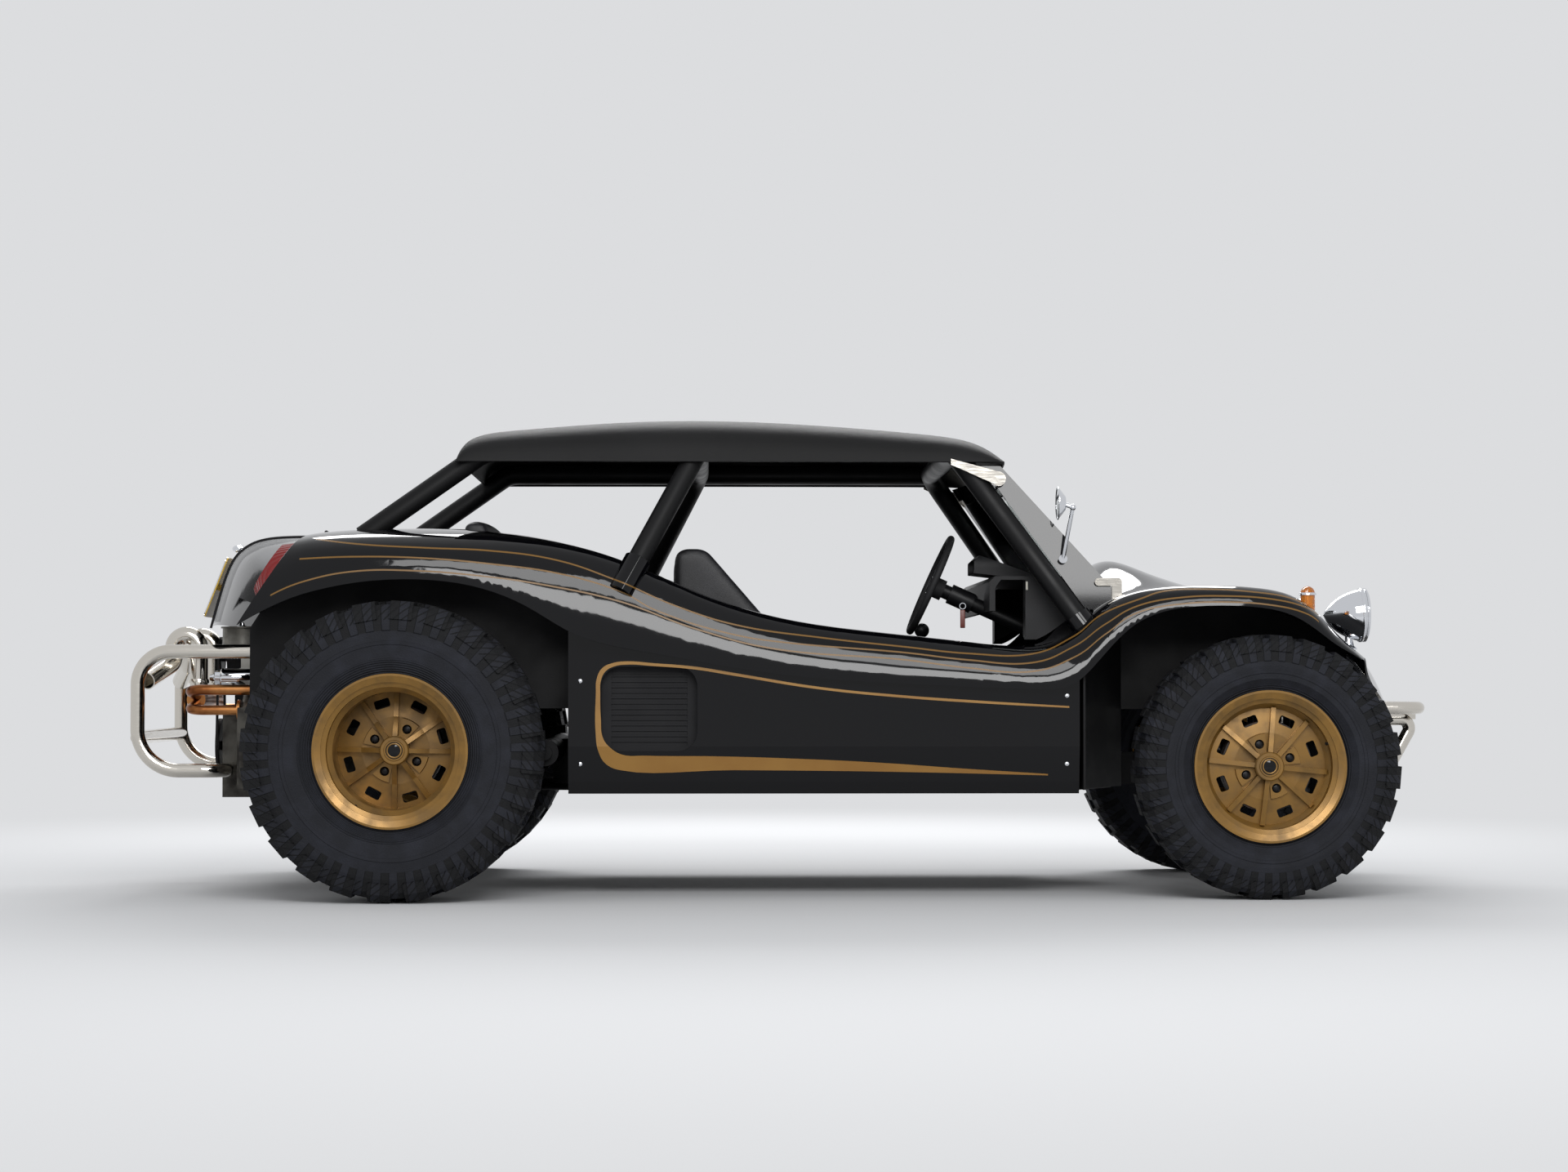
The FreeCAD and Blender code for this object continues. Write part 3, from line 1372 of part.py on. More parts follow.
def make_rim(place, width, disc, boss, turn):
    """Right rim: stepped barrel, sloping disc with eight slots, paired ribs, nut pads, boss and cap."""
    lip = rim_lip_diameter / 2
    seat = rim_seat_diameter / 2
    half = width / 2
    well = seat - rim_well_depth
    inner_seat = seat - rim_wall
    inner_well = well - rim_wall
    step = rim_lip + rim_seat_width
    ramp = rim_well_depth / 2
    barrel = [
        (half, lip), (half - rim_lip, lip), (half - rim_lip, seat), (half - step, seat),
        (half - step - ramp, well),
        (-half + step + ramp, well), (-half + step, seat), (-half + rim_lip, seat), (-half + rim_lip, lip),
        (-half, lip), (-half, lip - rim_wall), (-half + rim_lip - rim_wall, inner_seat),
        (-half + step, inner_seat),
        (-half + step + ramp, inner_well), (half - step - ramp, inner_well), (half - step, rim_ledge_radius),
        (half - rim_lip - rim_wall, rim_ledge_radius), (half - rim_lip, rim_ledge_edge),
        (half - rim_wall, rim_ledge_edge),
        (half, lip - rim_wall),
    ]
    outer = inner_well + rim_wall / 2
    dish = [
        (disc - rim_disc, hub_bore_radius), (disc - rim_disc, rim_pad_radius), (disc - rim_disc * 2, outer),
        (disc - rim_disc, outer), (disc, rim_pad_radius), (disc, hub_bore_radius),
    ]
    centre = [
        (disc - rim_disc, hub_bore_radius), (disc - rim_disc, rim_boss_radius),
        (boss - rim_wall, rim_boss_radius),
        (boss - rim_wall / 2, rim_boss_radius - rim_wall / 2), (boss - rim_wall / 2, rim_boss_ring),
        (boss, rim_boss_ring - rim_wall / 4), (boss, rim_cap_radius), (boss - rim_cap_depth, rim_cap_radius),
        (boss - rim_cap_depth, 0), (boss - rim_cap_depth * 3, 0),
        (boss - rim_cap_depth * 3, hub_bore_radius),
    ]
    pad = revolved([
        (disc - rim_disc / 2, rim_boss_radius - rim_wall), (disc - rim_disc / 2, rim_pad_radius),
        (disc + rim_pad_rise, rim_pad_radius - rim_wall / 2),
        (disc + rim_pad_rise, rim_boss_radius - rim_wall),
    ], Vector(0, 0, 0), 360 / rim_pair_count - rim_pair_half_angle * 2 - rim_pad_gap_angle)
    rib = outline([
        Vector(-rim_rib_width / 2, -disc + rim_disc / 2, rim_boss_radius - rim_wall),
        Vector(-rim_rib_width / 2, -disc + rim_disc * 3 / 2, outer),
        Vector(-rim_rib_width / 2, -disc - rim_wall, outer),
        Vector(-rim_rib_width / 2, -disc - rim_rib_height - rim_pad_rise, rim_pad_radius),
        Vector(-rim_rib_width / 2, -boss + rim_boss_ring / 2, rim_boss_radius - rim_wall),
    ]).extrude(Vector(rim_rib_width, 0, 0))
    slot = box(-rim_slot_length / 2, rim_slot_length / 2, -disc - overrun, -disc + overrun * 2,
               rim_slot_radius - rim_slot_width / 2, rim_slot_radius + rim_slot_width / 2)
    corners = [edge for edge in slot.Edges if edge.BoundBox.YLength > overrun]
    slot = slot.makeFillet(rim_wall, corners)
    nut = rod(Vector(0, -disc - overrun, rim_nut_circle / 2), Vector(0, -disc + overrun, rim_nut_circle / 2),
              rim_nut_radius)
    pieces = [revolved(barrel, place), revolved(dish, place), revolved(centre, place)]
    holes = []
    pair_angle = 360 / rim_pair_count
    for index in range(rim_pair_count):
        angle = turn + pair_angle * index
        pieces.append(turned(pad, angle + rim_pair_half_angle + rim_pad_gap_angle / 2, place))
        pieces.append(turned(rib, angle - rim_pair_half_angle, place))
        pieces.append(turned(rib, angle + rim_pair_half_angle, place))
        holes.append(turned(nut, angle + pair_angle / 2, place))
    for index in range(rim_slot_count):
        holes.append(turned(slot, turn + 360 / rim_slot_count * index, place))
    return fused(pieces).cut(Part.makeCompound(holes))


# Across and up, as shares of a tyre's half width and radius.
shoulder_shares = [(0.985, 0.84), (0.93, 0.93)]
lining_shares = [(0.9, 0.95), (1.0, 0.86)]
lug_top_shares = [(0.8, 0.994), (0.965, 0.945)]


def make_tyre(place, diameter, width, rim_width):
    """Hollow tyre that sits on the rim's two seats, with mud lugs over both shoulders."""
    radius = diameter / 2
    base = radius - lug_height
    seat = rim_seat_diameter / 2
    bead = rim_width / 2 - rim_lip - face_gap
    side = width / 2
    crown = side * tyre_crown_share
    flat_radius = math.sqrt(radius * radius - lug_width * lug_width / 4)
    points = [
        (bead, seat + face_gap), (bead, rim_lip_diameter / 2 + carcass / 4),
        (side * tyre_bulge_share, rim_lip_diameter / 2 + carcass * 2), (side, (seat + radius) / 2),
    ]
    points += [(side * across_share, radius * up_share) for across_share, up_share in shoulder_shares]
    points += [(crown, base * tyre_crown_drop_share), (0, base)]
    inner_crown, inner_side = lining_shares
    inside = [
        (0, radius - carcass * 2), (crown * inner_crown[0], radius * inner_crown[1] - carcass),
        (side - carcass, radius * inner_side[1]), (side - carcass, (seat + radius) / 2),
        (bead - carcass, seat + carcass * 2), (bead - carcass, seat + face_gap),
    ]
    left_points = [(-along, r) for along, r in reversed(points[:-1])]
    left_inside = [(-along, r) for along, r in reversed(inside[1:])]
    ring = revolved(points + left_points + left_inside + inside, place)
    lug = [(side * lug_inner_share, flat_radius)]
    lug += [(side * across_share, flat_radius * up_share) for across_share, up_share in lug_top_shares]
    lug += [
        (side, radius * lug_foot_share), (side - lug_root, radius * lug_foot_share),
        (crown * inner_crown[0], base - lug_root), (side * lug_inner_share, base - lug_root),
    ]
    corner_angle = math.degrees(math.asin(lug_width / 2 / radius))
    pieces = [ring]
    for sign in (1, -1):
        block = outline([Vector(-lug_width / 2, -along * sign, r) for along, r in lug])
        block = block.extrude(Vector(lug_width, 0, 0))
        for index in range(lug_count):
            angle = 180 + corner_angle + 360 / lug_count * (index + (1 - sign) / 4)
            pieces.append(turned(block, angle, place))
    return pieces[0].multiFuse(pieces[1:])


def make_drum(place, inner_y, outer_y):
    """Brake drum with its hub."""
    at = Vector(place.x, 0, place.z)
    body = rod(at - axis_y * inner_y, at - axis_y * (inner_y + drum_depth), drum_radius)
    inside = rod(at - axis_y * (inner_y - overrun), at - axis_y * (inner_y + drum_depth - drum_wall),
                 drum_radius - drum_wall)
    hub = rod(at - axis_y * inner_y, at - axis_y * outer_y, hub_radius)
    bore = rod(at - axis_y * (inner_y - overrun), at - axis_y * (outer_y + overrun),
               spindle_radius + running_fit)
    return fused([body.cut(inside), hub]).cut(bore)


def make_rear_suspension(gearbox):
    """Right axle tube, hub carrier and spring plate."""
    carrier = cross_rod(0, rear_axle_z, -spring_plate_y + hub_carrier_half,
                        -rear_drum_y + running_fit * overrun * 2,
                        hub_carrier_radius)
    tube = cross_rod(0, crank_z, -gearbox_radius, -spring_plate_y, axle_tube_radius)
    bell = rod(Vector(0, -gearbox_nose_radius, crank_z), Vector(0, -axle_bell_reach, crank_z),
               axle_bell_radius, axle_tube_radius)
    stub = cross_rod(0, rear_axle_z, -spring_plate_y, -rear_disc_y + rim_disc + face_gap, spindle_radius)
    half = spring_plate_height / 2
    plate_y = -torsion_half - spring_plate_sheet - face_gap
    plate = across([(0, rear_axle_z + half), (torsion_x, torsion_z + half), (torsion_x, torsion_z - half),
                    (0, rear_axle_z - half)], plate_y, plate_y + spring_plate_sheet)
    cap = cross_rod(torsion_x, torsion_z, -torsion_half - overrun * 2, 0, torsion_cap_radius + running_fit)
    return fused([carrier, tube, bell, stub, plate]).cut(cap).cut(gearbox)


def make_gearbox():
    bell_end = engine_front_x + gearbox_bell_length
    bell = rod(Vector(engine_front_x + face_gap, 0, crank_z), Vector(bell_end, 0, crank_z),
               gearbox_bell_radius, gearbox_radius)
    body = rod(Vector(bell_end, 0, crank_z), Vector(gearbox_body_x, 0, crank_z), gearbox_radius)
    nose = rod(Vector(gearbox_body_x, 0, crank_z), Vector(gearbox_nose_x, 0, crank_z),
               gearbox_radius, gearbox_nose_radius)
    return fused([bell, body, nose])


def make_engine():
    """Crankcase, four finned cylinders, two heads with rocker covers, and the distributor."""
    pieces = [box(engine_rear_x, engine_front_x, -block_half, block_half, block_bottom_z, block_top_z)]
    for side in (1, -1):
        for offset in (-cylinder_spacing / 2, cylinder_spacing / 2):
            x = engine_middle_x + offset
            pieces.append(cross_rod(x, crank_z, 0, cylinder_reach * side, cylinder_radius - cylinder_fin))
            y = block_half + cylinder_fin_pitch
            while y < head_start - cylinder_fin_pitch:
                pieces.append(cross_rod(x, crank_z, y * side, (y + cylinder_fin) * side, cylinder_radius))
                y += cylinder_fin_pitch
        low_y, high_y = sorted((head_start * side, head_end * side))
        head = box(engine_middle_x - head_half_length, engine_middle_x + head_half_length, low_y, high_y,
                   crank_z - head_half_height, crank_z + head_half_height)
        pieces.append(head)
        low_z = crank_z - cover_drop - cover_half_height
        high_z = crank_z - cover_drop + cover_half_height
        cover = rounded_across([
            (engine_middle_x - cover_half_length, low_z), (engine_middle_x + cover_half_length, low_z),
            (engine_middle_x + cover_half_length, high_z), (engine_middle_x - cover_half_length, high_z),
        ], cover_edge, head_end * side, (head_end + cover_depth) * side)
        pieces.append(cover)
    cap_z = block_top_z + distributor_height
    pieces.append(upright(distributor_x, distributor_y, block_top_z - overrun, cap_z, distributor_radius))
    pieces.append(rod(Vector(distributor_x, distributor_y, cap_z),
                      Vector(distributor_x, distributor_y, cap_z + distributor_cap_height),
                      distributor_cap_radius, distributor_radius))
    return fused(pieces)


def drive_loop(margin):
    """The outline round both pulleys, as a slab of the belt's width."""
    upper = fan_pulley_radius + margin
    lower = crank_pulley_radius + margin
    x0 = pulley_x + belt_thick / 4 - pulley_thick
    x1 = x0 + belt_thick
    discs = [rod(Vector(x0, 0, fan_z), Vector(x1, 0, fan_z), upper),
             rod(Vector(x0, 0, crank_z), Vector(x1, 0, crank_z), lower)]
    web = outline([Vector(x0, -upper, fan_z), Vector(x0, upper, fan_z), Vector(x0, lower, crank_z),
                   Vector(x0, -lower, crank_z)]).extrude(Vector(belt_thick, 0, 0))
    return fused(discs + [web])


def make_fan_housing():
    """Cooling shroud with its inlet ring, the alternator on its stand, both pulleys and the belt."""
    rear_x = fan_x - fan_housing_depth
    low_z = block_top_z + face_gap
    drum = rod(Vector(fan_x, 0, fan_z), Vector(rear_x, 0, fan_z), fan_radius)
    foot = box(rear_x, fan_x, -fan_foot_half, fan_foot_half, low_z, low_z + fan_foot_height)
    inlet = rod(Vector(fan_x + overrun, 0, fan_z), Vector(fan_x - fan_inlet_depth, 0, fan_z),
                fan_inlet_radius)
    hub = rod(Vector(fan_x - fan_inlet_depth - overrun, 0, fan_z), Vector(fan_x - overrun, 0, fan_z),
              fan_hub_radius)
    alternator = rod(Vector(rear_x + overrun, 0, fan_z), Vector(rear_x - alternator_length, 0, fan_z),
                     alternator_radius)
    stand = box(-alternator_stand_rear, -alternator_stand_rear + alternator_stand_length,
                -alternator_stand_half, alternator_stand_half, low_z, fan_z)
    shaft = rod(Vector(rear_x, 0, fan_z), Vector(pulley_x - pulley_thick, 0, fan_z), pulley_shaft_radius)
    crank_shaft = rod(Vector(engine_rear_x - face_gap, 0, crank_z),
                      Vector(pulley_x - pulley_thick, 0, crank_z),
                      pulley_shaft_radius)
    pulleys = [rod(Vector(pulley_x, 0, z), Vector(pulley_x - pulley_thick, 0, z), radius)
               for z, radius in ((fan_z, fan_pulley_radius), (crank_z, crank_pulley_radius))]
    belt = drive_loop(belt_thick).cut(drive_loop(0))
    shroud = fused([drum, foot]).cut(inlet)
    return fused([shroud, hub, alternator, stand, shaft, crank_shaft, belt] + pulleys)


def make_carburettor(engine):
    """Inlet manifold between the heads, the carburettor and its round air cleaner."""
    low_z = crank_z + head_half_height - overrun
    manifold = pipe([
        Vector(manifold_x, -manifold_y, low_z), Vector(manifold_x, -manifold_knee_y, manifold_z),
        Vector(manifold_x, manifold_knee_y, manifold_z), Vector(manifold_x, manifold_y, low_z),
    ], manifold_radius, [manifold_bend, manifold_bend])
    top_z = manifold_z + carburettor_height
    half = carburettor_half
    body = box(carburettor_x - half, carburettor_x + half, carburettor_y - half, carburettor_y + half,
               manifold_z, top_z)
    cleaner = upright(air_cleaner_x, carburettor_y, top_z - running_fit, top_z + air_cleaner_height,
                      air_cleaner_radius)
    lid = upright(air_cleaner_x, carburettor_y, top_z + air_cleaner_height - air_cleaner_lid,
                  top_z + air_cleaner_height, air_cleaner_radius + air_cleaner_lid)
    return fused([manifold, body, cleaner, lid]).cut(engine)


def make_exhaust(engine):
    """Two headers from each head into a cross collector."""
    pieces = [cross_rod(collector_x, collector_z, -collector_half, collector_half, collector_radius)]
    for side in (1, -1):
        y = header_y * side
        inner_y = collector_half * side / 2
        start_z = crank_z + head_half_height - running_fit
        pieces.append(pipe([
            Vector(upper_header_x, y, start_z), Vector(upper_header_x, y, upper_header_z),
            Vector(collector_x, y, upper_header_z), Vector(collector_x, inner_y, collector_z),
        ], upper_header_radius, [header_bend, header_bend]))
        rear_x = engine_middle_x - head_half_length
        pieces.append(pipe([
            Vector(rear_x - face_gap, y, lower_header_z), Vector(collector_x, y, lower_header_z),
            Vector(collector_x, inner_y, collector_z),
        ], lower_header_radius, [header_bend]))
        pieces.append(rod(Vector(rear_x - face_gap, y, lower_header_z),
                          Vector(rear_x - face_gap - header_flange_sheet, y, lower_header_z),
                          header_flange_radius))
    return fused(pieces).cut(engine)


def make_tailpipes(exhaust):
    """Two polished pipes that rise from the collector, turn over and point outwards."""
    pipes = []
    for side in (1, -1):
        tip = Vector(tailpipe_tip_x, tailpipe_tip_y * side, tailpipe_tip_z)
        y = tailpipe_y * side
        down_x = collector_x - tailpipe_bend * 2
        knee = Vector(down_x, y, tailpipe_drop_z)
        tube = pipe([
            Vector(collector_x, y, collector_z), Vector(collector_x, y, tailpipe_arch_z),
            Vector(down_x - running_fit * 2, y, tailpipe_arch_z), knee, tip,
        ], tailpipe_radius, [tailpipe_bend] * 3)
        back = (knee - tip).normalize()
        bore = rod(tip - back * overrun, tip + back * tailpipe_bore_depth, tailpipe_bore_radius)
        pipes.append(tube.cut(bore).cut(exhaust))
    return Part.makeCompound(pipes)


def make_rear_bumper():
    """Two upright loops of polished tube and the bar between them."""
    back = -rear_overhang + rear_bumper_radius
    loops = []
    for side in (1, -1):
        y = rear_bumper_half * side
        loops.append(pipe([
            Vector(rear_bumper_mount_x, (tub_half_rear - tub_wall - face_gap) * side, rear_bumper_top_z),
            Vector(rear_bumper_mount_x, y, rear_bumper_top_z), Vector(back, y, rear_bumper_top_z),
            Vector(back, y, rear_bumper_bottom_z), Vector(rear_bumper_root_x, y, rear_bumper_bottom_z),
            Vector(rear_bumper_root_x, (block_half + face_gap) * side, rear_bumper_bottom_z),
        ], rear_bumper_radius, [rear_bumper_root_bend, rear_bumper_top_bend, rear_bumper_bottom_bend,
                                rear_bumper_root_bend]))
    bar_half = rear_bumper_half
    bar = cross_rod(back, rear_bumper_bar_z, -bar_half, bar_half, rear_bumper_radius)
    return fused(loops + [bar])


def make_front_bumper():
    """Polished hoop round the nose on two side frames that slant down and back."""
    front = wheelbase + front_overhang - front_bumper_radius
    y = front_bumper_half
    mount = front_bumper_mount_x
    top = pipe([
        Vector(mount, -y, front_bumper_top_z), Vector(front, -y, front_bumper_top_z),
        Vector(front, y, front_bumper_top_z), Vector(mount, y, front_bumper_top_z),
    ], front_bumper_radius, [front_bumper_bend] * 2)
    legs = []
    for side in (1, -1):
        y = front_bumper_leg_y * side
        legs.append(pipe([
            Vector(mount, y, front_bumper_leg_z), Vector(front, y, front_bumper_leg_z),
            Vector(wheelbase + front_bumper_bottom_gap, y, front_bumper_bottom_z),
            Vector(mount, y, front_bumper_bottom_z),
        ], front_bumper_radius, [front_bumper_leg_bend, front_bumper_foot_bend]))
        legs.append(box(front - front_bumper_gusset_length, front, y - front_bumper_gusset / 2,
                        y + front_bumper_gusset / 2, front_bumper_leg_z, front_bumper_top_z))
    return fused([top] + legs)


def make_headlamp():
    """Right bullet lamp on its stalk."""
    rim = headlamp_radius
    back = Part.BSplineCurve()
    bulge = [Vector(-headlamp_length * back_share, 0, rim * up_share) for back_share,
             up_share in headlamp_shares]
    back.interpolate([Vector(-headlamp_rim, 0, rim)] + bulge + [Vector(-headlamp_length, 0, 0)])
    edges = [
        Part.LineSegment(Vector(-headlamp_length, 0, 0), Vector(0, 0, 0)).toShape(),
        Part.LineSegment(Vector(0, 0, 0), Vector(0, 0, rim)).toShape(),
        Part.LineSegment(Vector(0, 0, rim), Vector(-headlamp_rim, 0, rim)).toShape(),
        back.toShape(),
    ]
    bullet = Part.Face(Part.Wire(edges)).revolve(Vector(0, 0, 0), axis_x, 360)
    bullet.translate(Vector(headlamp_x, -headlamp_y, headlamp_z))
    stalk_x = headlamp_x - headlamp_stalk_gap
    stalk = upright(stalk_x, -headlamp_y, headlamp_z - headlamp_radius * 2, headlamp_z,
                    headlamp_stalk_radius)
    return fused([bullet, stalk.cut(below_skin)])


def make_headlamp_lens():
    """Right lens: a slice of a large sphere on a short edge."""
    ball_radius = (headlamp_lens_radius ** 2 + headlamp_lens_rise ** 2) / (2 * headlamp_lens_rise)
    start_x = headlamp_x + face_gap
    front_x = start_x + headlamp_lens_edge + headlamp_lens_rise
    ball = Part.makeSphere(ball_radius, Vector(front_x - ball_radius, -headlamp_y, headlamp_z))
    disc = rod(Vector(start_x, -headlamp_y, headlamp_z), Vector(front_x, -headlamp_y, headlamp_z),
               headlamp_lens_radius)
    return disc.common(ball)


def make_indicator():
    """Right round lamp on top of the wing."""
    x = wheelbase + indicator_ahead
    z = deck_height - indicator_drop
    foot = upright(x, -indicator_y, z - indicator_foot, z, indicator_radius)
    dome = Part.makeSphere(indicator_radius, Vector(x, -indicator_y, z))
    return fused([foot, dome]).cut(below_skin)


def make_tail_lamp():
    """Right leaf-shaped lamp, pointed at both ends, on the slanted tail face."""
    half = tail_lamp_length / 2
    width = tail_lamp_width

    def leaf(scale, height):
        top = Vector(half * scale, 0, height)
        low = Vector(-half * scale, 0, height)
        outer = Vector(0, -width * (1 - tail_lamp_lean) * scale, height)
        inner = Vector(0, width * tail_lamp_lean * scale, height)
        return Part.Wire([Part.Arc(top, outer, low).toShape(), Part.Arc(low, inner, top).toShape()])

    lamp = Part.makeLoft([leaf(1, 0), leaf(tail_lamp_taper, tail_lamp_depth)], True, True)
    slope = Vector(tail_cut_top_x - tail_cut_bottom_x, 0, tail_cut_top_z - tail_cut_bottom_z).normalize()
    back = Vector(-slope.z, 0, slope.x)
    middle = Vector((tail_cut_top_x + tail_cut_bottom_x) / 2, -tail_lamp_y,
                    (tail_cut_top_z + tail_cut_bottom_z) / 2)
    lamp.Placement = FreeCAD.Placement(middle + back * face_gap,
                                       FreeCAD.Rotation(slope, axis_y, back, "XZY"))
    return lamp


def make_mirror(frame):
    """Round door mirror on its stalk from the windscreen frame."""
    glass = Vector(mirror_x, -mirror_y, mirror_z)
    head = rod(glass, glass + axis_x * mirror_depth, mirror_radius, mirror_back_radius)
    ball = glass + Vector(mirror_depth + mirror_ball_ahead, 0, -mirror_ball_drop)
    neck = rod(glass + axis_x * (mirror_depth / 2), ball, mirror_stalk_radius)
    joint = Part.makeSphere(mirror_ball_radius, ball)
    foot = Vector(ball.x + mirror_foot_ahead, -mirror_foot_y, ball.z - mirror_foot_drop)
    stalk = rod(ball, foot, mirror_stalk_radius)
    base = rod(foot - axis_y * mirror_stalk_radius, foot + axis_y * mirror_base_length, mirror_base_radius)
    return fused([head, neck, joint, stalk, base]).cut(frame)


def make_plate(lid):
    """Bare number plate with its stand on the lid."""
    half_y = plate_width / 2
    half_z = plate_height / 2
    plate = rounded_outline([Vector(0, -half_y, -half_z), Vector(0, half_y, -half_z),
                             Vector(0, half_y, half_z),
                             Vector(0, -half_y, half_z)], plate_corner).extrude(Vector(plate_sheet, 0, 0))
    stand = box(plate_sheet, plate_stand_length, -half_y / 2, half_y / 2, -plate_stand_half,
                plate_stand_half)
    piece = fused([plate, stand])
    piece.rotate(Vector(0, 0, 0), axis_y, plate_tilt)
    piece.translate(Vector(plate_x, 0, plate_z))
    return max(piece.cut(lid).Solids, key=lambda solid: solid.Volume)


floorpan = make_floorpan()
gearbox = make_gearbox()
engine = make_engine()
exhaust = make_exhaust(engine)
lid = make_engine_lid()
roof = make_hardtop()
cage = make_roll_cage(roof)
screen_frame = make_windscreen_frame(roof)
beam = make_front_beam()
right_pod = make_side_pod()
right_seat = make_front_seat()
right_knuckle = make_knuckle()
save("body_shell", make_body_shell())
save("cockpit_tub", make_cockpit_tub(floorpan))
save("floorpan", floorpan)
save("side_pod_right", right_pod)
save("side_pod_left", mirrored(right_pod))
save("vent_grilles", both_sides(make_vent_grille()))
save("engine_lid", lid)
save("number_plate", make_plate(lid))
save("hardtop", roof)
save("roll_cage", cage)
save("windscreen_frame", screen_frame)
save("windscreen_glass", make_windscreen_glass())
save("screen_brackets", make_screen_brackets(screen_frame, roof, cage))
save("dashboard", make_dashboard(screen_frame))
save("steering_column", make_steering_column(beam))
save("steering_wheel", make_steering_wheel())
save("front_seat_right", right_seat)
save("front_seat_left", mirrored(right_seat))
save("rear_bench", make_rear_bench())
save("controls", make_controls(floorpan))
save("front_beam", beam)
save("knuckle_right", right_knuckle)
save("knuckle_left", mirrored(right_knuckle))
save("track_rod", make_track_rod())
save("gearbox", gearbox)
save("engine", engine)
save("fan_housing", make_fan_housing())
save("carburettor", make_carburettor(engine))
save("exhaust", exhaust)
save("tailpipes", make_tailpipes(exhaust))
save("rear_suspension", both_sides(make_rear_suspension(gearbox)))
save("rear_bumper", make_rear_bumper())
save("front_bumper", make_front_bumper())
save("headlamps", both_sides(make_headlamp()))
save("headlamp_lenses", both_sides(make_headlamp_lens()))
save("indicators", both_sides(make_indicator()))
save("tail_lamps", both_sides(make_tail_lamp()))
save("mirror", make_mirror(screen_frame))
front_place = Vector(wheelbase, -front_half_track, front_axle_z)
rear_place = Vector(0, -rear_half_track, rear_axle_z)
wheels = {
    "front": (make_rim(front_place, front_rim_width, front_disc_stand, front_disc_stand + front_boss_length,
                       front_rim_turn),
              make_tyre(front_place, front_tyre_diameter, front_tyre_width, front_rim_width),
              make_drum(front_place, front_drum_y, front_disc_y - rim_disc - face_gap)),
    "rear": (make_rim(rear_place, rear_rim_width, rear_disc_stand, rear_disc_stand + rear_boss_length,
                      rear_rim_turn),
             make_tyre(rear_place, rear_tyre_diameter, rear_tyre_width, rear_rim_width),
             make_drum(rear_place, rear_drum_y, rear_disc_y - rim_disc - face_gap)),
}
for end, (rim, tyre, drum) in wheels.items():
    for kind, shape in (("rim", rim), ("tyre", tyre), ("drum", drum)):
        save(kind + "_" + end + "_right", shape)
        save(kind + "_" + end + "_left", mirrored(shape))
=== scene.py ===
import json
import math

import bmesh
import bpy
from mathutils import Matrix, Vector


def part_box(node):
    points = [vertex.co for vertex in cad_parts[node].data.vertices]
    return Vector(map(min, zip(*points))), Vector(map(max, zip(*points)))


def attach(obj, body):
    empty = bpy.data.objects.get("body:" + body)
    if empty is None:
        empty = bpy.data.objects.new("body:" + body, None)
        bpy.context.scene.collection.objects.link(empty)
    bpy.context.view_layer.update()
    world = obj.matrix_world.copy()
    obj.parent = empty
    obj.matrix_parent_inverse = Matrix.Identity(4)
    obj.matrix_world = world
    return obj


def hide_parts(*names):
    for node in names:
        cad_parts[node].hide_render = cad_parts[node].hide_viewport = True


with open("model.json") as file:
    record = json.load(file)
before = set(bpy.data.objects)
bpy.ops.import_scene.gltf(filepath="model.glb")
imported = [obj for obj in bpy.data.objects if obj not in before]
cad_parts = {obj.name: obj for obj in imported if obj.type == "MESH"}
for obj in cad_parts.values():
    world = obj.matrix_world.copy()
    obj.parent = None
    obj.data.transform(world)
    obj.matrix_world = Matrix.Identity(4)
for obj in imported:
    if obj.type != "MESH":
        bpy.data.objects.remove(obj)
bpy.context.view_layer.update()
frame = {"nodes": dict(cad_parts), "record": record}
nodes = frame["nodes"]
print("frame loaded:", len(nodes), "nodes")


# places read from the frame

def middleOf(name):
    low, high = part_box(name)
    return (low + high) / 2


rearAxle = middleOf("drum_rear_right")
frontAxle = middleOf("drum_front_right")
axisX = Vector((1, 0, 0))
axisY = Vector((0, 1, 0))
axisZ = Vector((0, 0, 1))


def fromRear(x, y, z):
    return Vector((rearAxle.x + x, y, z))  # metres ahead of the rear axle


def labelOf(side):
    return "right" if side < 0 else "left"


# camera: square on to the right side, with the photo's slight turn

camera = {
    "distance": 9.5,  # metres from the centreline
    "behindFrontAxle": 1.535,
    "height": 0.593,
    "lens": 73.4,  # mm on a 36 mm wide sensor
    "turn": 1.302,  # degrees to the right of square
    "tilt": 1.748,  # degrees above level
}


def makeCamera():
    data = bpy.data.cameras.new("camera")
    data.sensor_fit = "HORIZONTAL"
    data.sensor_width = 36
    data.lens = camera["lens"]
    data.clip_end = 200
    view = bpy.data.objects.new("camera", data)
    view.location = (frontAxle.x - camera["behindFrontAxle"], -camera["distance"], camera["height"])
    view.rotation_euler = (math.radians(90 + camera["tilt"]), 0, -math.radians(camera["turn"]))
    bpy.context.scene.collection.objects.link(view)
    bpy.context.scene.camera = view


makeCamera()
print("camera placed")


# materials; every size in them is in metres

smoothly = {"interpolation_type": "SMOOTHSTEP"}


def linear(code):
    parts = [int(code[i:i + 2], 16) / 255 for i in (0, 2, 4)]
    return [c / 12.92 if c <= 0.04045 else ((c + 0.055) / 1.055) ** 2.4 for c in parts] + [1.0]


def resultOf(made):
    return next(socket for socket in made.outputs if socket.enabled)


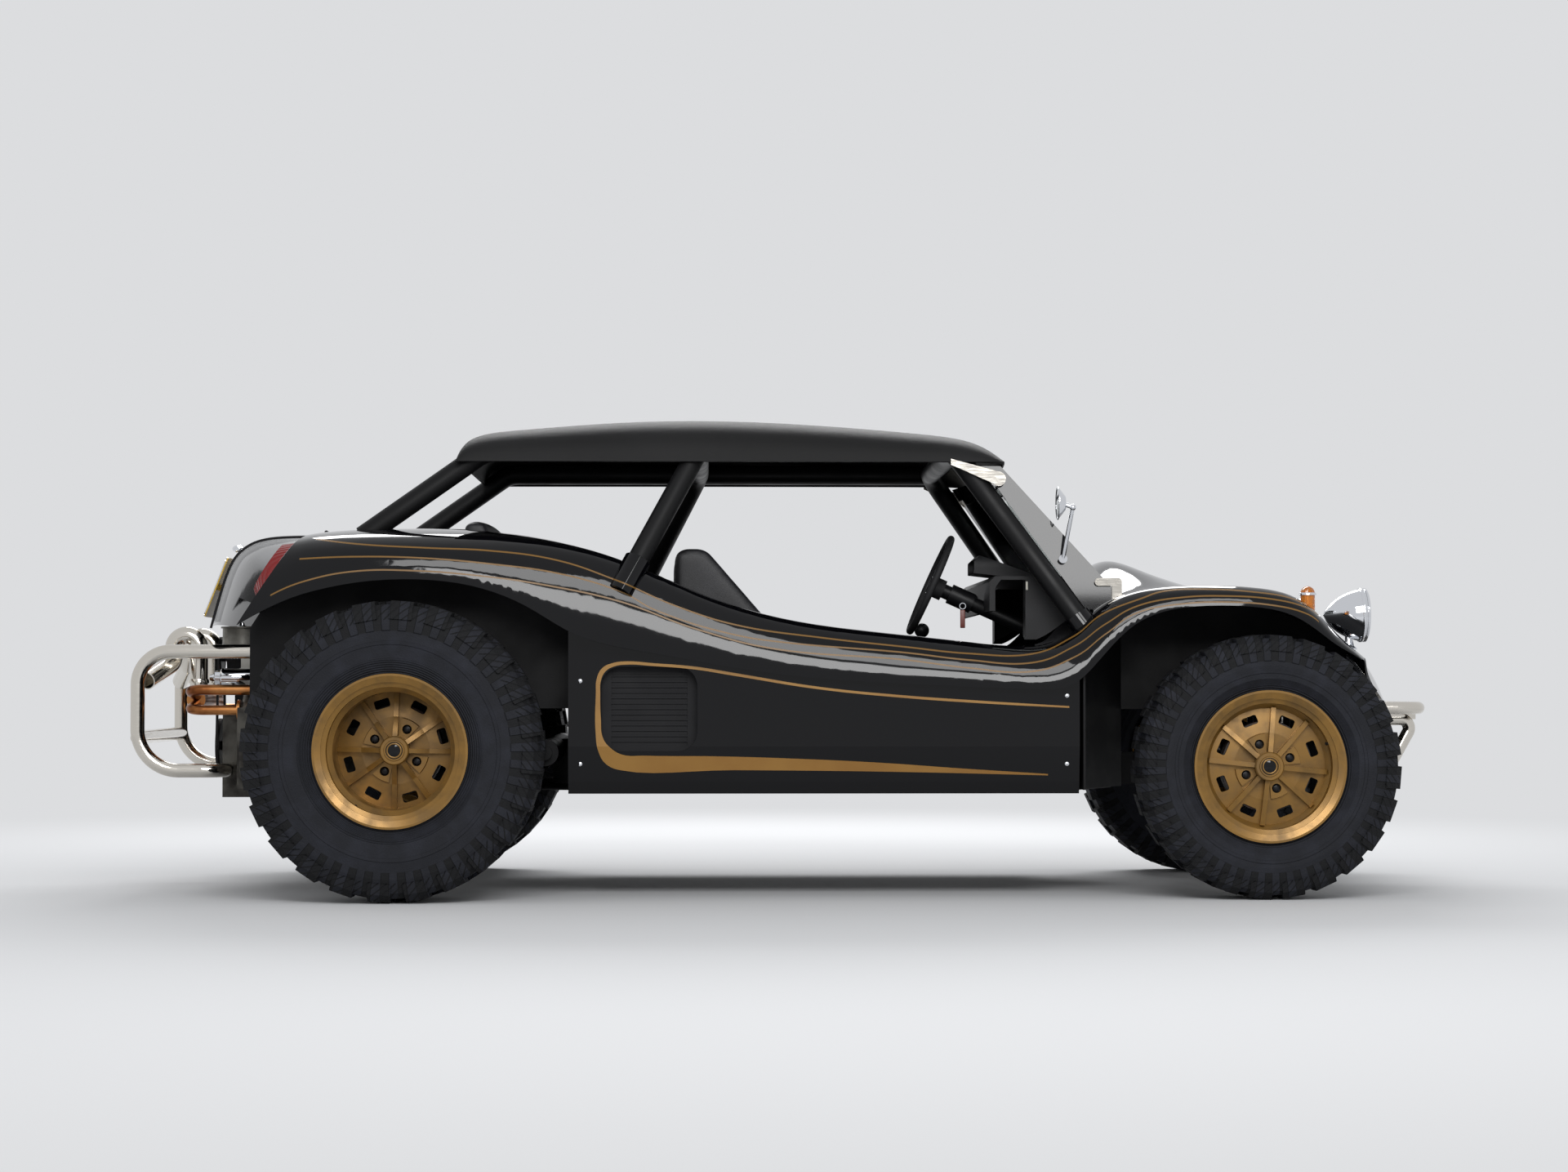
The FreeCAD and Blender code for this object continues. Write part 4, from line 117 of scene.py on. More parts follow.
def node(tree, kind, *sources, to=None, **settings):
    # sources feed its inputs in order, settings name its choices and inputs, to is the shader input it feeds
    made = tree.nodes.new("ShaderNode" + kind)
    choices = [name for name in settings if hasattr(made, name)]
    for name in choices:
        setattr(made, name, settings[name])
    inputs = {socket.name: socket for socket in reversed(made.inputs[:]) if socket.enabled}
    given = list(zip(made.inputs, sources))
    given += [(inputs[name], value) for name, value in settings.items() if name not in choices]
    for socket, value in given:
        if isinstance(value, bpy.types.Node):
            value = resultOf(value)
        if isinstance(value, bpy.types.NodeSocket):
            tree.links.new(value, socket)
        else:
            socket.default_value = value
    if to:
        tree.links.new(resultOf(made), tree.nodes["Principled BSDF"].inputs[to])
    return made


def startMaterial(name, colour, **settings):
    made = bpy.data.materials.new(name)
    made.use_nodes = True
    tree = made.node_tree
    shader = tree.nodes["Principled BSDF"]
    shader.inputs["Base Color"].default_value = linear(colour)
    for key, value in settings.items():
        shader.inputs[key.replace("_", " ")].default_value = value
    return made, tree, node(tree, "TexCoord").outputs["Object"]


def addGrain(tree, place, size, strength, depth, detail=2.0):
    # an even grain in relief, size across and depth high
    grain = node(tree, "TexNoise", place, Scale=1 / size, Detail=detail)
    node(tree, "Bump", to="Normal", Strength=strength, Distance=depth, Height=grain)


def addPatches(tree, place, size, low, high, one, other, detail=4.0):
    # soft patches about size across, from one colour to the other
    cloud = node(tree, "TexNoise", place, Scale=1 / size, Detail=detail)
    share = node(tree, "MapRange", cloud, low, high, **smoothly)
    node(tree, "Mix", share, to="Base Color", data_type="RGBA", A=linear(one), B=linear(other))
    return share


def addSmears(tree, place, size, low, high, least, most, detail=3.0):
    # roughness that drifts from least to most in patches about size across
    cloud = node(tree, "TexNoise", place, Scale=1 / size, Detail=detail)
    node(tree, "MapRange", cloud, low, high, least, most, to="Roughness", **smoothly)


# Stripes: places along the car, metres ahead of the rear axle and above the ground.
stripes = {
    "width": 0.0044,
    "innerLimit": 0.655,  # metres from the centreline, so that they stay on the outer side
    "colour": "7e5c2a",
    "top": [(-0.223, 0.990), (-0.102, 0.974), (0.085, 0.963), (0.257, 0.956), (0.428, 0.934), (0.600, 0.878),
            (0.773, 0.804), (0.943, 0.752), (1.172, 0.719), (1.401, 0.694), (1.574, 0.676), (1.744, 0.674),
            (1.858, 0.719), (1.950, 0.788), (2.051, 0.828), (2.114, 0.848), (2.235, 0.853), (2.365, 0.845),
            (2.457, 0.831), (2.522, 0.804)],
    "middle": [(-0.259, 0.932), (-0.102, 0.938), (0.085, 0.934), (0.271, 0.918), (0.437, 0.896),
               (0.616, 0.845), (0.715, 0.793), (0.943, 0.724), (1.058, 0.707), (1.401, 0.678), (1.574, 0.658),
               (1.744, 0.650), (1.858, 0.692), (1.950, 0.757), (2.051, 0.811), (2.160, 0.830), (2.273, 0.834),
               (2.412, 0.825), (2.504, 0.804), (2.551, 0.780)],
    "bottom": [(-0.335, 0.831), (-0.232, 0.873), (-0.102, 0.898), (0.046, 0.900), (0.271, 0.882),
               (0.410, 0.862), (0.600, 0.822), (0.829, 0.741), (1.035, 0.689), (1.401, 0.658), (1.574, 0.636),
               (1.744, 0.626), (1.858, 0.663), (1.950, 0.730), (2.051, 0.793), (2.160, 0.812), (2.273, 0.817),
               (2.412, 0.808), (2.504, 0.786), (2.543, 0.761)],
}


def stripeMask(tree, along, height, points):
    first, last = points[0][0], points[-1][0]
    ahead = node(tree, "Math", along, rearAxle.x + first, operation="SUBTRACT")
    share = node(tree, "Math", ahead, last - first, operation="DIVIDE")
    line = node(tree, "FloatCurve", Value=share)
    curve = line.mapping.curves[0]
    curve.points[0].location = (0.0, points[0][1])
    curve.points[1].location = (1.0, points[-1][1])
    for x, z in points[1:-1]:
        curve.points.new((x - first) / (last - first), z)
    line.mapping.update()
    off = node(tree, "Math", node(tree, "Math", height, line, operation="SUBTRACT"), operation="ABSOLUTE")
    near = node(tree, "MapRange", off, stripes["width"] * 0.4, stripes["width"] * 0.6, 1.0, 0.0, **smoothly)
    begun = node(tree, "Math", share, 0.001, operation="GREATER_THAN")
    unfinished = node(tree, "Math", share, 0.999, operation="LESS_THAN")
    inside = node(tree, "Math", begun, unfinished, operation="MULTIPLY")
    return node(tree, "Math", near, inside, operation="MULTIPLY")


def glossBlackPaint(name, striped):
    # two-pack gloss black on a glass-fibre moulding: deep, mirror-smooth, a trace of orange peel 8 mm across
    black = "060609"
    made, tree, place = startMaterial(name, black, Roughness=0.05, Specular_IOR_Level=0.3)
    addGrain(tree, place, 0.008, 0.004, 0.0005, 1.0)
    if striped:
        parts = node(tree, "SeparateXYZ", place).outputs
        lines = 0.0
        for row in ("top", "middle", "bottom"):
            mask = stripeMask(tree, parts["X"], parts["Z"], stripes[row])
            lines = node(tree, "Math", lines, mask, operation="MAXIMUM")
        across = node(tree, "Math", parts["Y"], operation="ABSOLUTE")
        outer = node(tree, "Math", across, stripes["innerLimit"], operation="GREATER_THAN")
        line = node(tree, "Math", lines, outer, operation="MULTIPLY")
        node(tree, "Mix", line, to="Base Color", data_type="RGBA", A=linear(black),
             B=linear(stripes["colour"]))
        node(tree, "MapRange", line, 0.0, 1.0, 0.05, 0.35, to="Roughness", **smoothly)
    return made


def satinBlackCoat(name, colour, size, roughness=0.42, strength=0.25):
    # powder coat on steel: satin black with a fine even nubble, drawn coarser than the real 0.5 mm so that
    # it shows
    made, tree, place = startMaterial(name, colour, Roughness=roughness, Specular_IOR_Level=0.16)
    addGrain(tree, place, size, strength, 0.0004)
    addSmears(tree, place, 0.12, 0.3, 0.7, roughness - 0.06, roughness + 0.08)
    return made


def texturedRoofVinyl():
    # moulded roof in black grained vinyl: matt, soft sheen, leather-like cells 2.5 mm across
    made, tree, place = startMaterial("grainedRoofVinyl", "0e0e0f", Roughness=0.62, Specular_IOR_Level=0.2,
                                      Sheen_Weight=0.03, Sheen_Roughness=0.5)
    cells = node(tree, "TexVoronoi", place, feature="DISTANCE_TO_EDGE", Scale=1 / 0.0025)
    swell = node(tree, "MapRange", cells, 0.0, 0.25, **smoothly)
    node(tree, "Bump", to="Normal", Strength=0.35, Distance=0.0004, Height=swell)
    addPatches(tree, place, 0.25, 0.35, 0.65, "0c0c0d", "121213", 3.0)
    return made


def polishedStainless():
    # bumper tube in polished stainless: warm mirror with faint polishing streaks, 45 mm long and 3 mm wide
    made, tree, place = startMaterial("polishedStainless", "d2cdc4", Metallic=1.0, Roughness=0.14)
    drawn = node(tree, "Mapping", place, Scale=(1.0, 1.0, 14.0))
    streaks = node(tree, "TexNoise", drawn, Scale=22.0, Detail=3.0)
    node(tree, "MapRange", streaks, 0.3, 0.7, 0.09, 0.2, to="Roughness", **smoothly)
    node(tree, "Bump", to="Normal", Strength=0.02, Distance=0.0005, Height=streaks)
    return made


def brightChrome():
    # decorative chrome plate: cold clean mirror, lightly hazed where hands wipe it
    made, tree, place = startMaterial("brightChrome", "dcdee2", Metallic=1.0, Roughness=0.04)
    addSmears(tree, place, 0.05, 0.4, 0.7, 0.03, 0.1)
    return made


def goldWheelPaint():
    # old-gold wheel paint over cast alloy: satin with fine metallic flake, browner where brake dust lies
    made, tree, place = startMaterial("goldWheelPaint", "8b672d", Metallic=0.4, Roughness=0.45)
    dust = addPatches(tree, place, 0.06, 0.35, 0.75, "8b672d", "6a4f24")
    addGrain(tree, place, 0.0012, 0.10, 0.0003, 1.0)
    node(tree, "MapRange", dust, 0.0, 1.0, 0.30, 0.46, to="Roughness", **smoothly)
    return made


tread = {
    "ribPitch": 0.006,  # metres between the fine ribs by the bead
    "teeth": 48,  # blocks round the shoulder
    "sipes": 96,  # fine cuts round the edge of the tread
    "slant": 120,  # how far the cuts lean
    "bands": {  # where each starts or ends, in shares of the tyre's radius
        "bead": (0.60, 0.62, 1.0, 0.0),
        "collarStart": (0.70, 0.705),
        "collarEnd": (0.725, 0.73, 1.0, 0.0),
        "shoulder": (0.79, 0.80),
        "edge": (0.86, 0.88),
    },
}


def treadRubber(name, axle, radius):
    # carbon-black tyre rubber: matt blue-grey, ribbed side wall, notched shoulder blocks, dusty edges,
    # painted shade in the grooves and cuts
    made, tree, place = startMaterial(name, "20222a", Roughness=0.78, Specular_IOR_Level=0.25)
    parts = node(tree, "SeparateXYZ", place).outputs
    x = node(tree, "Math", parts["X"], axle.x, operation="SUBTRACT")
    z = node(tree, "Math", parts["Z"], axle.z, operation="SUBTRACT")
    squares = [node(tree, "Math", side, side, operation="MULTIPLY") for side in (x, z)]
    out = node(tree, "Math", node(tree, "Math", *squares, operation="ADD"), operation="SQRT")
    turn = node(tree, "Math", z, x, operation="ARCTAN2")
    share = node(tree, "Math", out, radius, operation="DIVIDE")
    band = {key: node(tree, "MapRange", share, *ends, **smoothly) for key, ends in tread["bands"].items()}
    rings = node(tree, "Math", out, 2 * math.pi / tread["ribPitch"], operation="MULTIPLY")
    rings = node(tree, "Math", rings, operation="SINE")
    bead = node(tree, "Math", band["bead"], rings, operation="MULTIPLY")
    collar = node(tree, "Math", band["collarStart"], band["collarEnd"], operation="MULTIPLY")
    teeth = node(tree, "Math", turn, tread["teeth"], operation="MULTIPLY")
    teeth = node(tree, "MapRange", node(tree, "Math", teeth, operation="SINE"), -0.2, 0.1, **smoothly)
    blocks = node(tree, "Math", band["shoulder"], teeth, operation="MULTIPLY")
    lean = node(tree, "Math", share, tread["slant"], operation="MULTIPLY")
    cuts = node(tree, "Math", turn, tread["sipes"], lean, operation="MULTIPLY_ADD")
    cuts = node(tree, "MapRange", node(tree, "Math", cuts, operation="SINE"), 0.75, 0.95, **smoothly)
    sipes = node(tree, "Math", band["edge"], cuts, operation="MULTIPLY")
    grain = node(tree, "TexNoise", place, Scale=1 / 0.004, Detail=3.0)
    height = 0.0
    for form, amount in ((bead, 0.25), (collar, 0.5), (blocks, 1.0), (sipes, -0.8), (grain, 0.25)):
        height = node(tree, "Math", form, amount, height, operation="MULTIPLY_ADD")
    node(tree, "Bump", to="Normal", Strength=1.0, Distance=0.005, Height=height)
    dust = node(tree, "TexNoise", place, Scale=1 / 0.05, Detail=4.0)
    dust = node(tree, "MapRange", dust, 0.35, 0.75, **smoothly)
    grooveShadeAndDust = 0.5  # painted shade: the grooves round the shoulder blocks and the cuts are painted darker than the side wall and blocks; the dust over all is real
    for form, amount in ((band["shoulder"], -1.0), (blocks, 1.0), (sipes, -1.0), (dust, 0.5)):
        grooveShadeAndDust = node(tree, "Math", form, amount, grooveShadeAndDust, operation="MULTIPLY_ADD")
    node(tree, "Mix", grooveShadeAndDust, to="Base Color", data_type="RGBA", A=linear("0b0c0f"), B=linear("22242c"))
    return made


def castAlloy():
    # sand-cast aluminium: grey, rough, with a pebbled skin of 2 mm and darker patches about 8 cm across
    made, tree, place = startMaterial("sandCastAlloy", "8b8a86", Metallic=0.85, Roughness=0.5)
    addGrain(tree, place, 0.002, 0.3, 0.0006, 3.0)
    addPatches(tree, place, 0.08, 0.35, 0.7, "96958f", "55534e")
    return made


def oiledAlloy():
    # engine castings in long use: the same rough alloy, brown-black with old oil, dirt lying in blotches
    made, tree, place = startMaterial("oiledAlloy", "4a4844", Metallic=0.7, Roughness=0.55)
    addGrain(tree, place, 0.0025, 0.35, 0.0008, 3.0)
    addPatches(tree, place, 0.07, 0.35, 0.65, "55534e", "262320")
    return made


def heatTintedBronze():
    # header pipe, steel gone bronze with heat: straw and brown bands along the run
    made, tree, place = startMaterial("heatTintedBronze", "9a6238", Metallic=1.0, Roughness=0.3)
    parts = node(tree, "SeparateXYZ", place).outputs
    along = node(tree, "Math", parts["X"], parts["Y"], operation="ADD")
    bands = node(tree, "Math", node(tree, "Math", along, 24.0, operation="MULTIPLY"), operation="SINE")
    cloud = node(tree, "TexNoise", place, Scale=1 / 0.05, Detail=3.0)
    mixed = node(tree, "Math", bands, 0.3, cloud, operation="MULTIPLY_ADD")
    tint = node(tree, "MapRange", mixed, 0.2, 0.9, **smoothly)
    node(tree, "Mix", tint, to="Base Color", data_type="RGBA", A=linear("b27b4a"), B=linear("7a4526"))
    addGrain(tree, place, 0.003, 0.08, 0.0004)
    return made


def castIron():
    # brake drum iron: dark, turned, with a rusty bloom
    made, tree, place = startMaterial("castIron", "2f2d2b", Metallic=0.6, Roughness=0.6)
    addPatches(tree, place, 0.03, 0.45, 0.75, "2e2c2b", "4a3227")
    addGrain(tree, place, 0.0015, 0.3, 0.0004)
    return made


seamPitch = 0.055  # between the seats' sewn channels


def seatVinyl():
    # stitched black vinyl over foam: leather grain 3 mm across, sewn channels, soft worn sheen
    made, tree, place = startMaterial("seatVinyl", "17171a", Roughness=0.5, Specular_IOR_Level=0.35)
    across = node(tree, "SeparateXYZ", place).outputs["Y"]
    wave = node(tree, "Math", across, math.pi / seamPitch, operation="MULTIPLY")
    wave = node(tree, "Math", node(tree, "Math", wave, operation="SINE"), operation="ABSOLUTE")
    channel = node(tree, "MapRange", wave, 0.0, 0.35, **smoothly)
    cells = node(tree, "TexVoronoi", place, feature="DISTANCE_TO_EDGE", Scale=1 / 0.003)
    leather = node(tree, "MapRange", cells, 0.0, 0.2, **smoothly)
    height = node(tree, "Math", leather, 0.06, channel, operation="MULTIPLY_ADD")
    node(tree, "Bump", to="Normal", Strength=0.6, Distance=0.003, Height=height)
    addPatches(tree, place, 0.1, 0.4, 0.7, "151518", "222226")
    return made


def dashVinyl():
    # padded dash skin: matt black vinyl with a 2 mm grain
    made, tree, place = startMaterial("dashVinyl", "18181a", Roughness=0.6, Specular_IOR_Level=0.3)
    cells = node(tree, "TexVoronoi", place, feature="DISTANCE_TO_EDGE", Scale=1 / 0.002)
    leather = node(tree, "MapRange", cells, 0.0, 0.3, **smoothly)
    node(tree, "Bump", to="Normal", Strength=0.35, Distance=0.0004, Height=leather)
    addPatches(tree, place, 0.15, 0.4, 0.7, "151517", "202023", 3.0)
    return made


def softRubber(name, colour):
    # moulded rubber: matt, faintly mottled, flow marks 5 mm across
    made, tree, place = startMaterial(name, colour, Roughness=0.7, Specular_IOR_Level=0.3)
    addGrain(tree, place, 0.005, 0.15, 0.0005, 3.0)
    return made


def clearGlass():
    # laminated screen glass: clear with a breath of green, a few faint wiping smears
    made, tree, place = startMaterial("laminatedGlass", "eef5f2", IOR=1.5, Transmission_Weight=1.0,
                                      Roughness=0.0)
    addSmears(tree, place, 0.2, 0.5, 0.8, 0.0, 0.03, 4.0)
    return made


def lampGlass(name, colour, pitch, clear=1.0):
    # pressed lamp glass: clear or dyed, with upright flutes a pitch apart
    made, tree, place = startMaterial(name, colour, IOR=1.5, Transmission_Weight=clear, Roughness=0.06)
    across = node(tree, "SeparateXYZ", place).outputs["Y"]
    flutes = node(tree, "Math", across, 2 * math.pi / pitch, operation="MULTIPLY")
    flutes = node(tree, "Math", flutes, operation="SINE")
    node(tree, "Bump", to="Normal", Strength=0.5, Distance=0.0012, Height=flutes)
    return made


def plateEnamel():
    # blank reflective plate: yellow acrylic over a beaded backing, beads drawn 2 mm so that they show
    made, tree, place = startMaterial("reflectivePlate", "d8b13a", Roughness=0.25)
    addGrain(tree, place, 0.002, 0.1, 0.0003)
    addPatches(tree, place, 0.004, 0.4, 0.6, "d3ab35", "e0bb49", 2.0)
    return made


def stripeFoil():
    # cut vinyl film in old gold: flat satin, the paint's shape showing through
    made, tree, place = startMaterial("goldFilm", "92692a", Metallic=0.15, Roughness=0.36)
    addPatches(tree, place, 0.2, 0.35, 0.7, "8e6426", "9a7130", 3.0)
    addGrain(tree, place, 0.003, 0.03, 0.0003)
    return made


steelCoat = satinBlackCoat("satinPowderCoat", "17171a", 0.002)
stainless = polishedStainless()
chrome = brightChrome()
gold = goldWheelPaint()
vinyl = seatVinyl()
trimRubber = softRubber("trimRubber", "18181a")
film = stripeFoil()
finishes = {
    "black_gloss": glossBlackPaint("glossBlackPaint", False),
    "black_satin": steelCoat,
    "chassis_black": satinBlackCoat("chassisPaint", "161618", 0.003, 0.4, 0.3),
    "cage_black": satinBlackCoat("cagePowderCoat", "141415", 0.0025, 0.45),
    "plate": plateEnamel(),
    "glass": clearGlass(),
    "dash_plastic": dashVinyl(),
    "wheel_rubber": trimRubber,
    "seat_fabric": vinyl,
    "cast_alloy": castAlloy(),
    "stainless": stainless,
    "chrome": chrome,
    "bronze": heatTintedBronze(),
    "lamp_amber": lampGlass("amberLampGlass", "e08a2c", 0.006, 0.5),
    "lamp_red": lampGlass("redLampGlass", "9c1414", 0.008, 0.35),
    "lamp_clear": lampGlass("flutedLampGlass", "f4f7f7", 0.009),
    "gold": gold,
    "drum_iron": castIron(),
}
ownFinish = {
    "body_shell": glossBlackPaint("stripedBlackPaint", True),
    "hardtop": texturedRoofVinyl(),
    "cockpit_tub": satinBlackCoat("underArchCoat", "0b0b0d", 0.004, 0.55, 0.4),
    "vent_grilles": satinBlackCoat("grilleCoat", "17171a", 0.0015, 0.5),
    "engine": oiledAlloy(),
    "gearbox": oiledAlloy(),
}
for part in frame["record"]["subparts"]:
    name = part["node"]
    mesh = nodes[name].data
    if part["material_slot"] == "tyre":
        low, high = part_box(name)
        finish = treadRubber("treadRubber" + name[4:], middleOf(name), (high.z - low.z) / 2)
    else:
        finish = ownFinish.get(name, finishes[part["material_slot"]])
    mesh.materials.clear()
    mesh.materials.append(finish)
print("materials given")


# making and placing pieces

def addPiece(name, bm, material, body, smooth=True):
    bmesh.ops.recalc_face_normals(bm, faces=bm.faces)
    mesh = bpy.data.meshes.new(name)
    bm.to_mesh(mesh)
    bm.free()
    mesh.materials.append(material)
    if smooth:
        mesh.shade_smooth()
    piece = bpy.data.objects.new(name, mesh)
    bpy.context.scene.collection.objects.link(piece)
    if smooth:
        mesh.set_sharp_from_angle(angle=math.radians(38))
    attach(piece, body)
    return piece


def spun(profile, centre, axis, steps=48):
    # profile: (radius, along the axis) pairs; ends on the axis close the form
    bm = bmesh.new()
    side = axis.orthogonal().normalized()
    verts = [bm.verts.new(centre + axis * along + side * radius) for radius, along in profile]
    edges = [bm.edges.new(pair) for pair in zip(verts, verts[1:])]
    bmesh.ops.spin(bm, geom=verts + edges, cent=centre, axis=axis, angle=2 * math.pi, steps=steps,
                   use_merge=True)
    bmesh.ops.remove_doubles(bm, verts=bm.verts, dist=1e-6)
    return bm


def ringBand(inner, outer, depth, base=0.0):
    # profile of a rounded ring, for spun
    middle = (inner + outer) / 2
    return [(inner, base), (inner, base + depth * 0.5), (middle, base + depth), (outer, base + depth * 0.55),
            (outer, base), (inner, base)]


def joined(parts):
    whole = bmesh.new()
    for part in parts:
        mesh = bpy.data.meshes.new("part")
        part.to_mesh(mesh)
        part.free()
        whole.from_mesh(mesh)
        bpy.data.meshes.remove(mesh)
    return whole


def roundedBlock(centre, size, edge, turn=None):
    bm = bmesh.new()
    bmesh.ops.create_cube(bm, size=1.0)
    bmesh.ops.scale(bm, vec=size, verts=bm.verts)
    bmesh.ops.bevel(bm, geom=bm.edges, offset=edge, offset_type="OFFSET", affect="EDGES", segments=3,
                    profile=0.5, material=-1)
    if turn:
        bmesh.ops.rotate(bm, cent=(0, 0, 0), matrix=turn, verts=bm.verts)
    bmesh.ops.translate(bm, vec=centre, verts=bm.verts)
    return bm


def hexHead(centre, axis, across, height):
    bm = bmesh.new()
    bmesh.ops.create_cone(bm, cap_ends=True, segments=6, radius1=across / 2, radius2=across / 2, depth=height)
    bmesh.ops.bevel(bm, geom=bm.edges, offset=across * 0.06, offset_type="OFFSET", affect="EDGES", segments=2,
                    profile=0.5, material=-1)
    turn = axisZ.rotation_difference(axis).to_matrix()
    bmesh.ops.rotate(bm, cent=(0, 0, 0), matrix=turn, verts=bm.verts)
    bmesh.ops.translate(bm, vec=centre, verts=bm.verts)
    return bm


def copyOf(name):
    bm = bmesh.new()
    bm.from_mesh(nodes[name].data)
    bmesh.ops.remove_doubles(bm, verts=bm.verts, dist=1e-5)
    return bm


def wholeOf(bm):
    return bm.verts[:] + bm.edges[:] + bm.faces[:]


def keepBorder(bm, width, thick):
    # leaves a band along the edge of a sheet and gives it a thickness
    made = bmesh.ops.inset_region(bm, faces=bm.faces[:], thickness=width, use_boundary=True,
                                  use_even_offset=True)
    ring = set(made["faces"])
    bmesh.ops.delete(bm, geom=[f for f in bm.faces if f not in ring], context="FACES")
    bmesh.ops.solidify(bm, geom=bm.faces[:], thickness=-thick)


# wheels: cap, nuts and valve on each

wheels = {
    "front": {
        "turn": 23.8,  # degrees clockwise, as the ribs stand
        "discStand": 0.049,  # from the middle of the rim out to its disc
        "bossLength": 0.040,
        "valve": (0.176, 69),  # radius and degrees clockwise from the top
    },
    "rear": {
        "turn": -17.0,
        "discStand": -0.035,
        "bossLength": 0.057,
        "valve": (0.178, 213),
    },
    "capRadius": 0.0232,
    "capRise": 0.004,
    "nutCircle": 0.065,
    "nutAcross": 0.019,
    "nutHeight": 0.012,
    "nutSink": 0.004,
    "valveInset": 0.05,
}


def roundWheel(radius, degrees):
    angle = math.radians(degrees)
    return (axisX * math.sin(angle) + axisZ * math.cos(angle)) * radius


def dressWheel(end, side):
    own = wheels[end]
    name = end + "_" + labelOf(side)
    body = "wheel_" + name
    low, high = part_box("rim_" + name)
    axle = (low + high) / 2
    out = axisY * side
    centre = Vector((axle.x, 0, axle.z))
    halfTrack = abs(axle.y)
    disc = halfTrack + own["discStand"]
    boss = disc + own["bossLength"]
    r = wheels["capRadius"]
    rise = wheels["capRise"]
    cap = spun([(0, boss - 0.0045 + rise * 1.2), (r * 0.35, boss - 0.0047 + rise * 1.1),
                (r * 0.7, boss - 0.005 + rise * 0.8), (r * 0.72, boss - 0.0052 + rise * 0.2),
                (r, boss - 0.005 + rise * 0.2), (r, boss - 0.0052), (0, boss - 0.0052)], centre, out, 40)
    addPiece("wheel_cap_" + name, cap, capEnamel, body)
    band = spun([(r * 0.72, boss - 0.004), (r * 0.74, boss - 0.0012), (r * 0.84, boss - 0.0006),
                 (r * 0.9, boss - 0.0012), (r * 0.9, boss - 0.004), (r * 0.72, boss - 0.004)],
                centre, out, 40)
    addPiece("cap_ring_" + name, band, gold, body)
    nuts = []
    for index in range(4):
        spot = centre + out * (disc - wheels["nutSink"])
        spot += roundWheel(wheels["nutCircle"], own["turn"] + 45 + 90 * index)
        nuts.append(hexHead(spot, out, wheels["nutAcross"], wheels["nutHeight"]))
        nuts.append(spun([(0, 0.009), (0.005, 0.008), (0.0062, 0.004), (0.0062, 0)], spot, out, 16))
    addPiece("wheel_nuts_" + name, joined(nuts), darkSteel, body)
    start = halfTrack + (high.y - low.y) / 2 - wheels["valveInset"]
    stem = spun([(0, start + 0.032), (0.0035, start + 0.0318), (0.004, start + 0.030), (0.004, start + 0.020),
                 (0.0028, start + 0.019), (0.0028, start + 0.016), (0.0058, start + 0.008),
                 (0.0066, start - 0.004), (0, start - 0.004)], centre + roundWheel(*own["valve"]), out, 20)
    addPiece("valve_" + name, stem, trimRubber, body)


capEnamel = glossBlackPaint("capEnamel", False)  # bare caps
darkSteel = satinBlackCoat("blackenedSteel", "242325", 0.0015, 0.35)
for side in (-1, 1):
    for end in ("front", "rear"):
        dressWheel(end, side)
print("wheels dressed")


# side boxes: gold film outline and the screws at the front edge

outline = {
    "outer": [(1.851, 0.531), (1.604, 0.546), (1.379, 0.562), (1.155, 0.585), (0.930, 0.622), (0.818, 0.640),
              (0.706, 0.649), (0.627, 0.654), (0.593, 0.649), (0.566, 0.636), (0.551, 0.609), (0.548, 0.564),
              (0.548, 0.451), (0.555, 0.407), (0.575, 0.373), (0.616, 0.355), (0.930, 0.355), (1.379, 0.350),
              (1.793, 0.340)],
    "inner": [(1.793, 0.344), (1.559, 0.359), (1.334, 0.375), (1.110, 0.386), (0.885, 0.393), (0.683, 0.395),
              (0.620, 0.398), (0.589, 0.416), (0.568, 0.443), (0.562, 0.496), (0.560, 0.564), (0.562, 0.602),
              (0.575, 0.627), (0.598, 0.640), (0.631, 0.645), (0.706, 0.641), (0.818, 0.632), (0.930, 0.614),
              (1.155, 0.578), (1.379, 0.555), (1.604, 0.539), (1.851, 0.526)],
    "proud": 0.0006,
    "crease": 0.42,  # height below which the box's face leans inwards
    "lean": 16 / 96,
}


def makeOutline(side):
    curve = bpy.data.curves.new("outlineCurve", "CURVE")
    curve.dimensions = "2D"
    curve.fill_mode = "BOTH"
    curve.resolution_u = 6
    points = outline["outer"] + outline["inner"]
    spline = curve.splines.new("BEZIER")
    spline.bezier_points.add(len(points) - 1)
    corners = (0, len(outline["outer"]) - 1, len(outline["outer"]), len(points) - 1)
    for index, (x, z) in enumerate(points):
        point = spline.bezier_points[index]
        point.co = (x, z, 0)
        kind = "VECTOR" if index in corners else "AUTO"
        point.handle_left_type = kind
        point.handle_right_type = kind
    spline.use_cyclic_u = True
    holder = bpy.data.objects.new("outlineCurve", curve)
    flat = bpy.data.meshes.new_from_object(holder)
    bm = bmesh.new()
    bm.from_mesh(flat)
    bpy.data.objects.remove(holder)
    bpy.data.meshes.remove(flat)
    bmesh.ops.remove_doubles(bm, verts=bm.verts, dist=1e-6)
    low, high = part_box("side_pod_" + labelOf(side))
    face = max(abs(low.y), abs(high.y))
    crease = outline["crease"]
    bmesh.ops.bisect_plane(bm, geom=wholeOf(bm), plane_co=(0, crease, 0), plane_no=(0, 1, 0))
    for vert in bm.verts:
        x, z = vert.co.x, vert.co.y
        tuck = max(0.0, crease - z) * outline["lean"]
        vert.co = fromRear(x, side * (face - tuck + outline["proud"]), z)
    piece = addPiece("gold_outline_" + labelOf(side), bm, film, "chassis", False)
    for polygon in piece.data.polygons:
        if polygon.normal.y * side < 0:
            polygon.flip()


podScrews = ((1.845, 0.706, 0.56), (1.845, 0.698, 0.372), (0.505, 0.706, 0.60), (0.505, 0.698, 0.372))


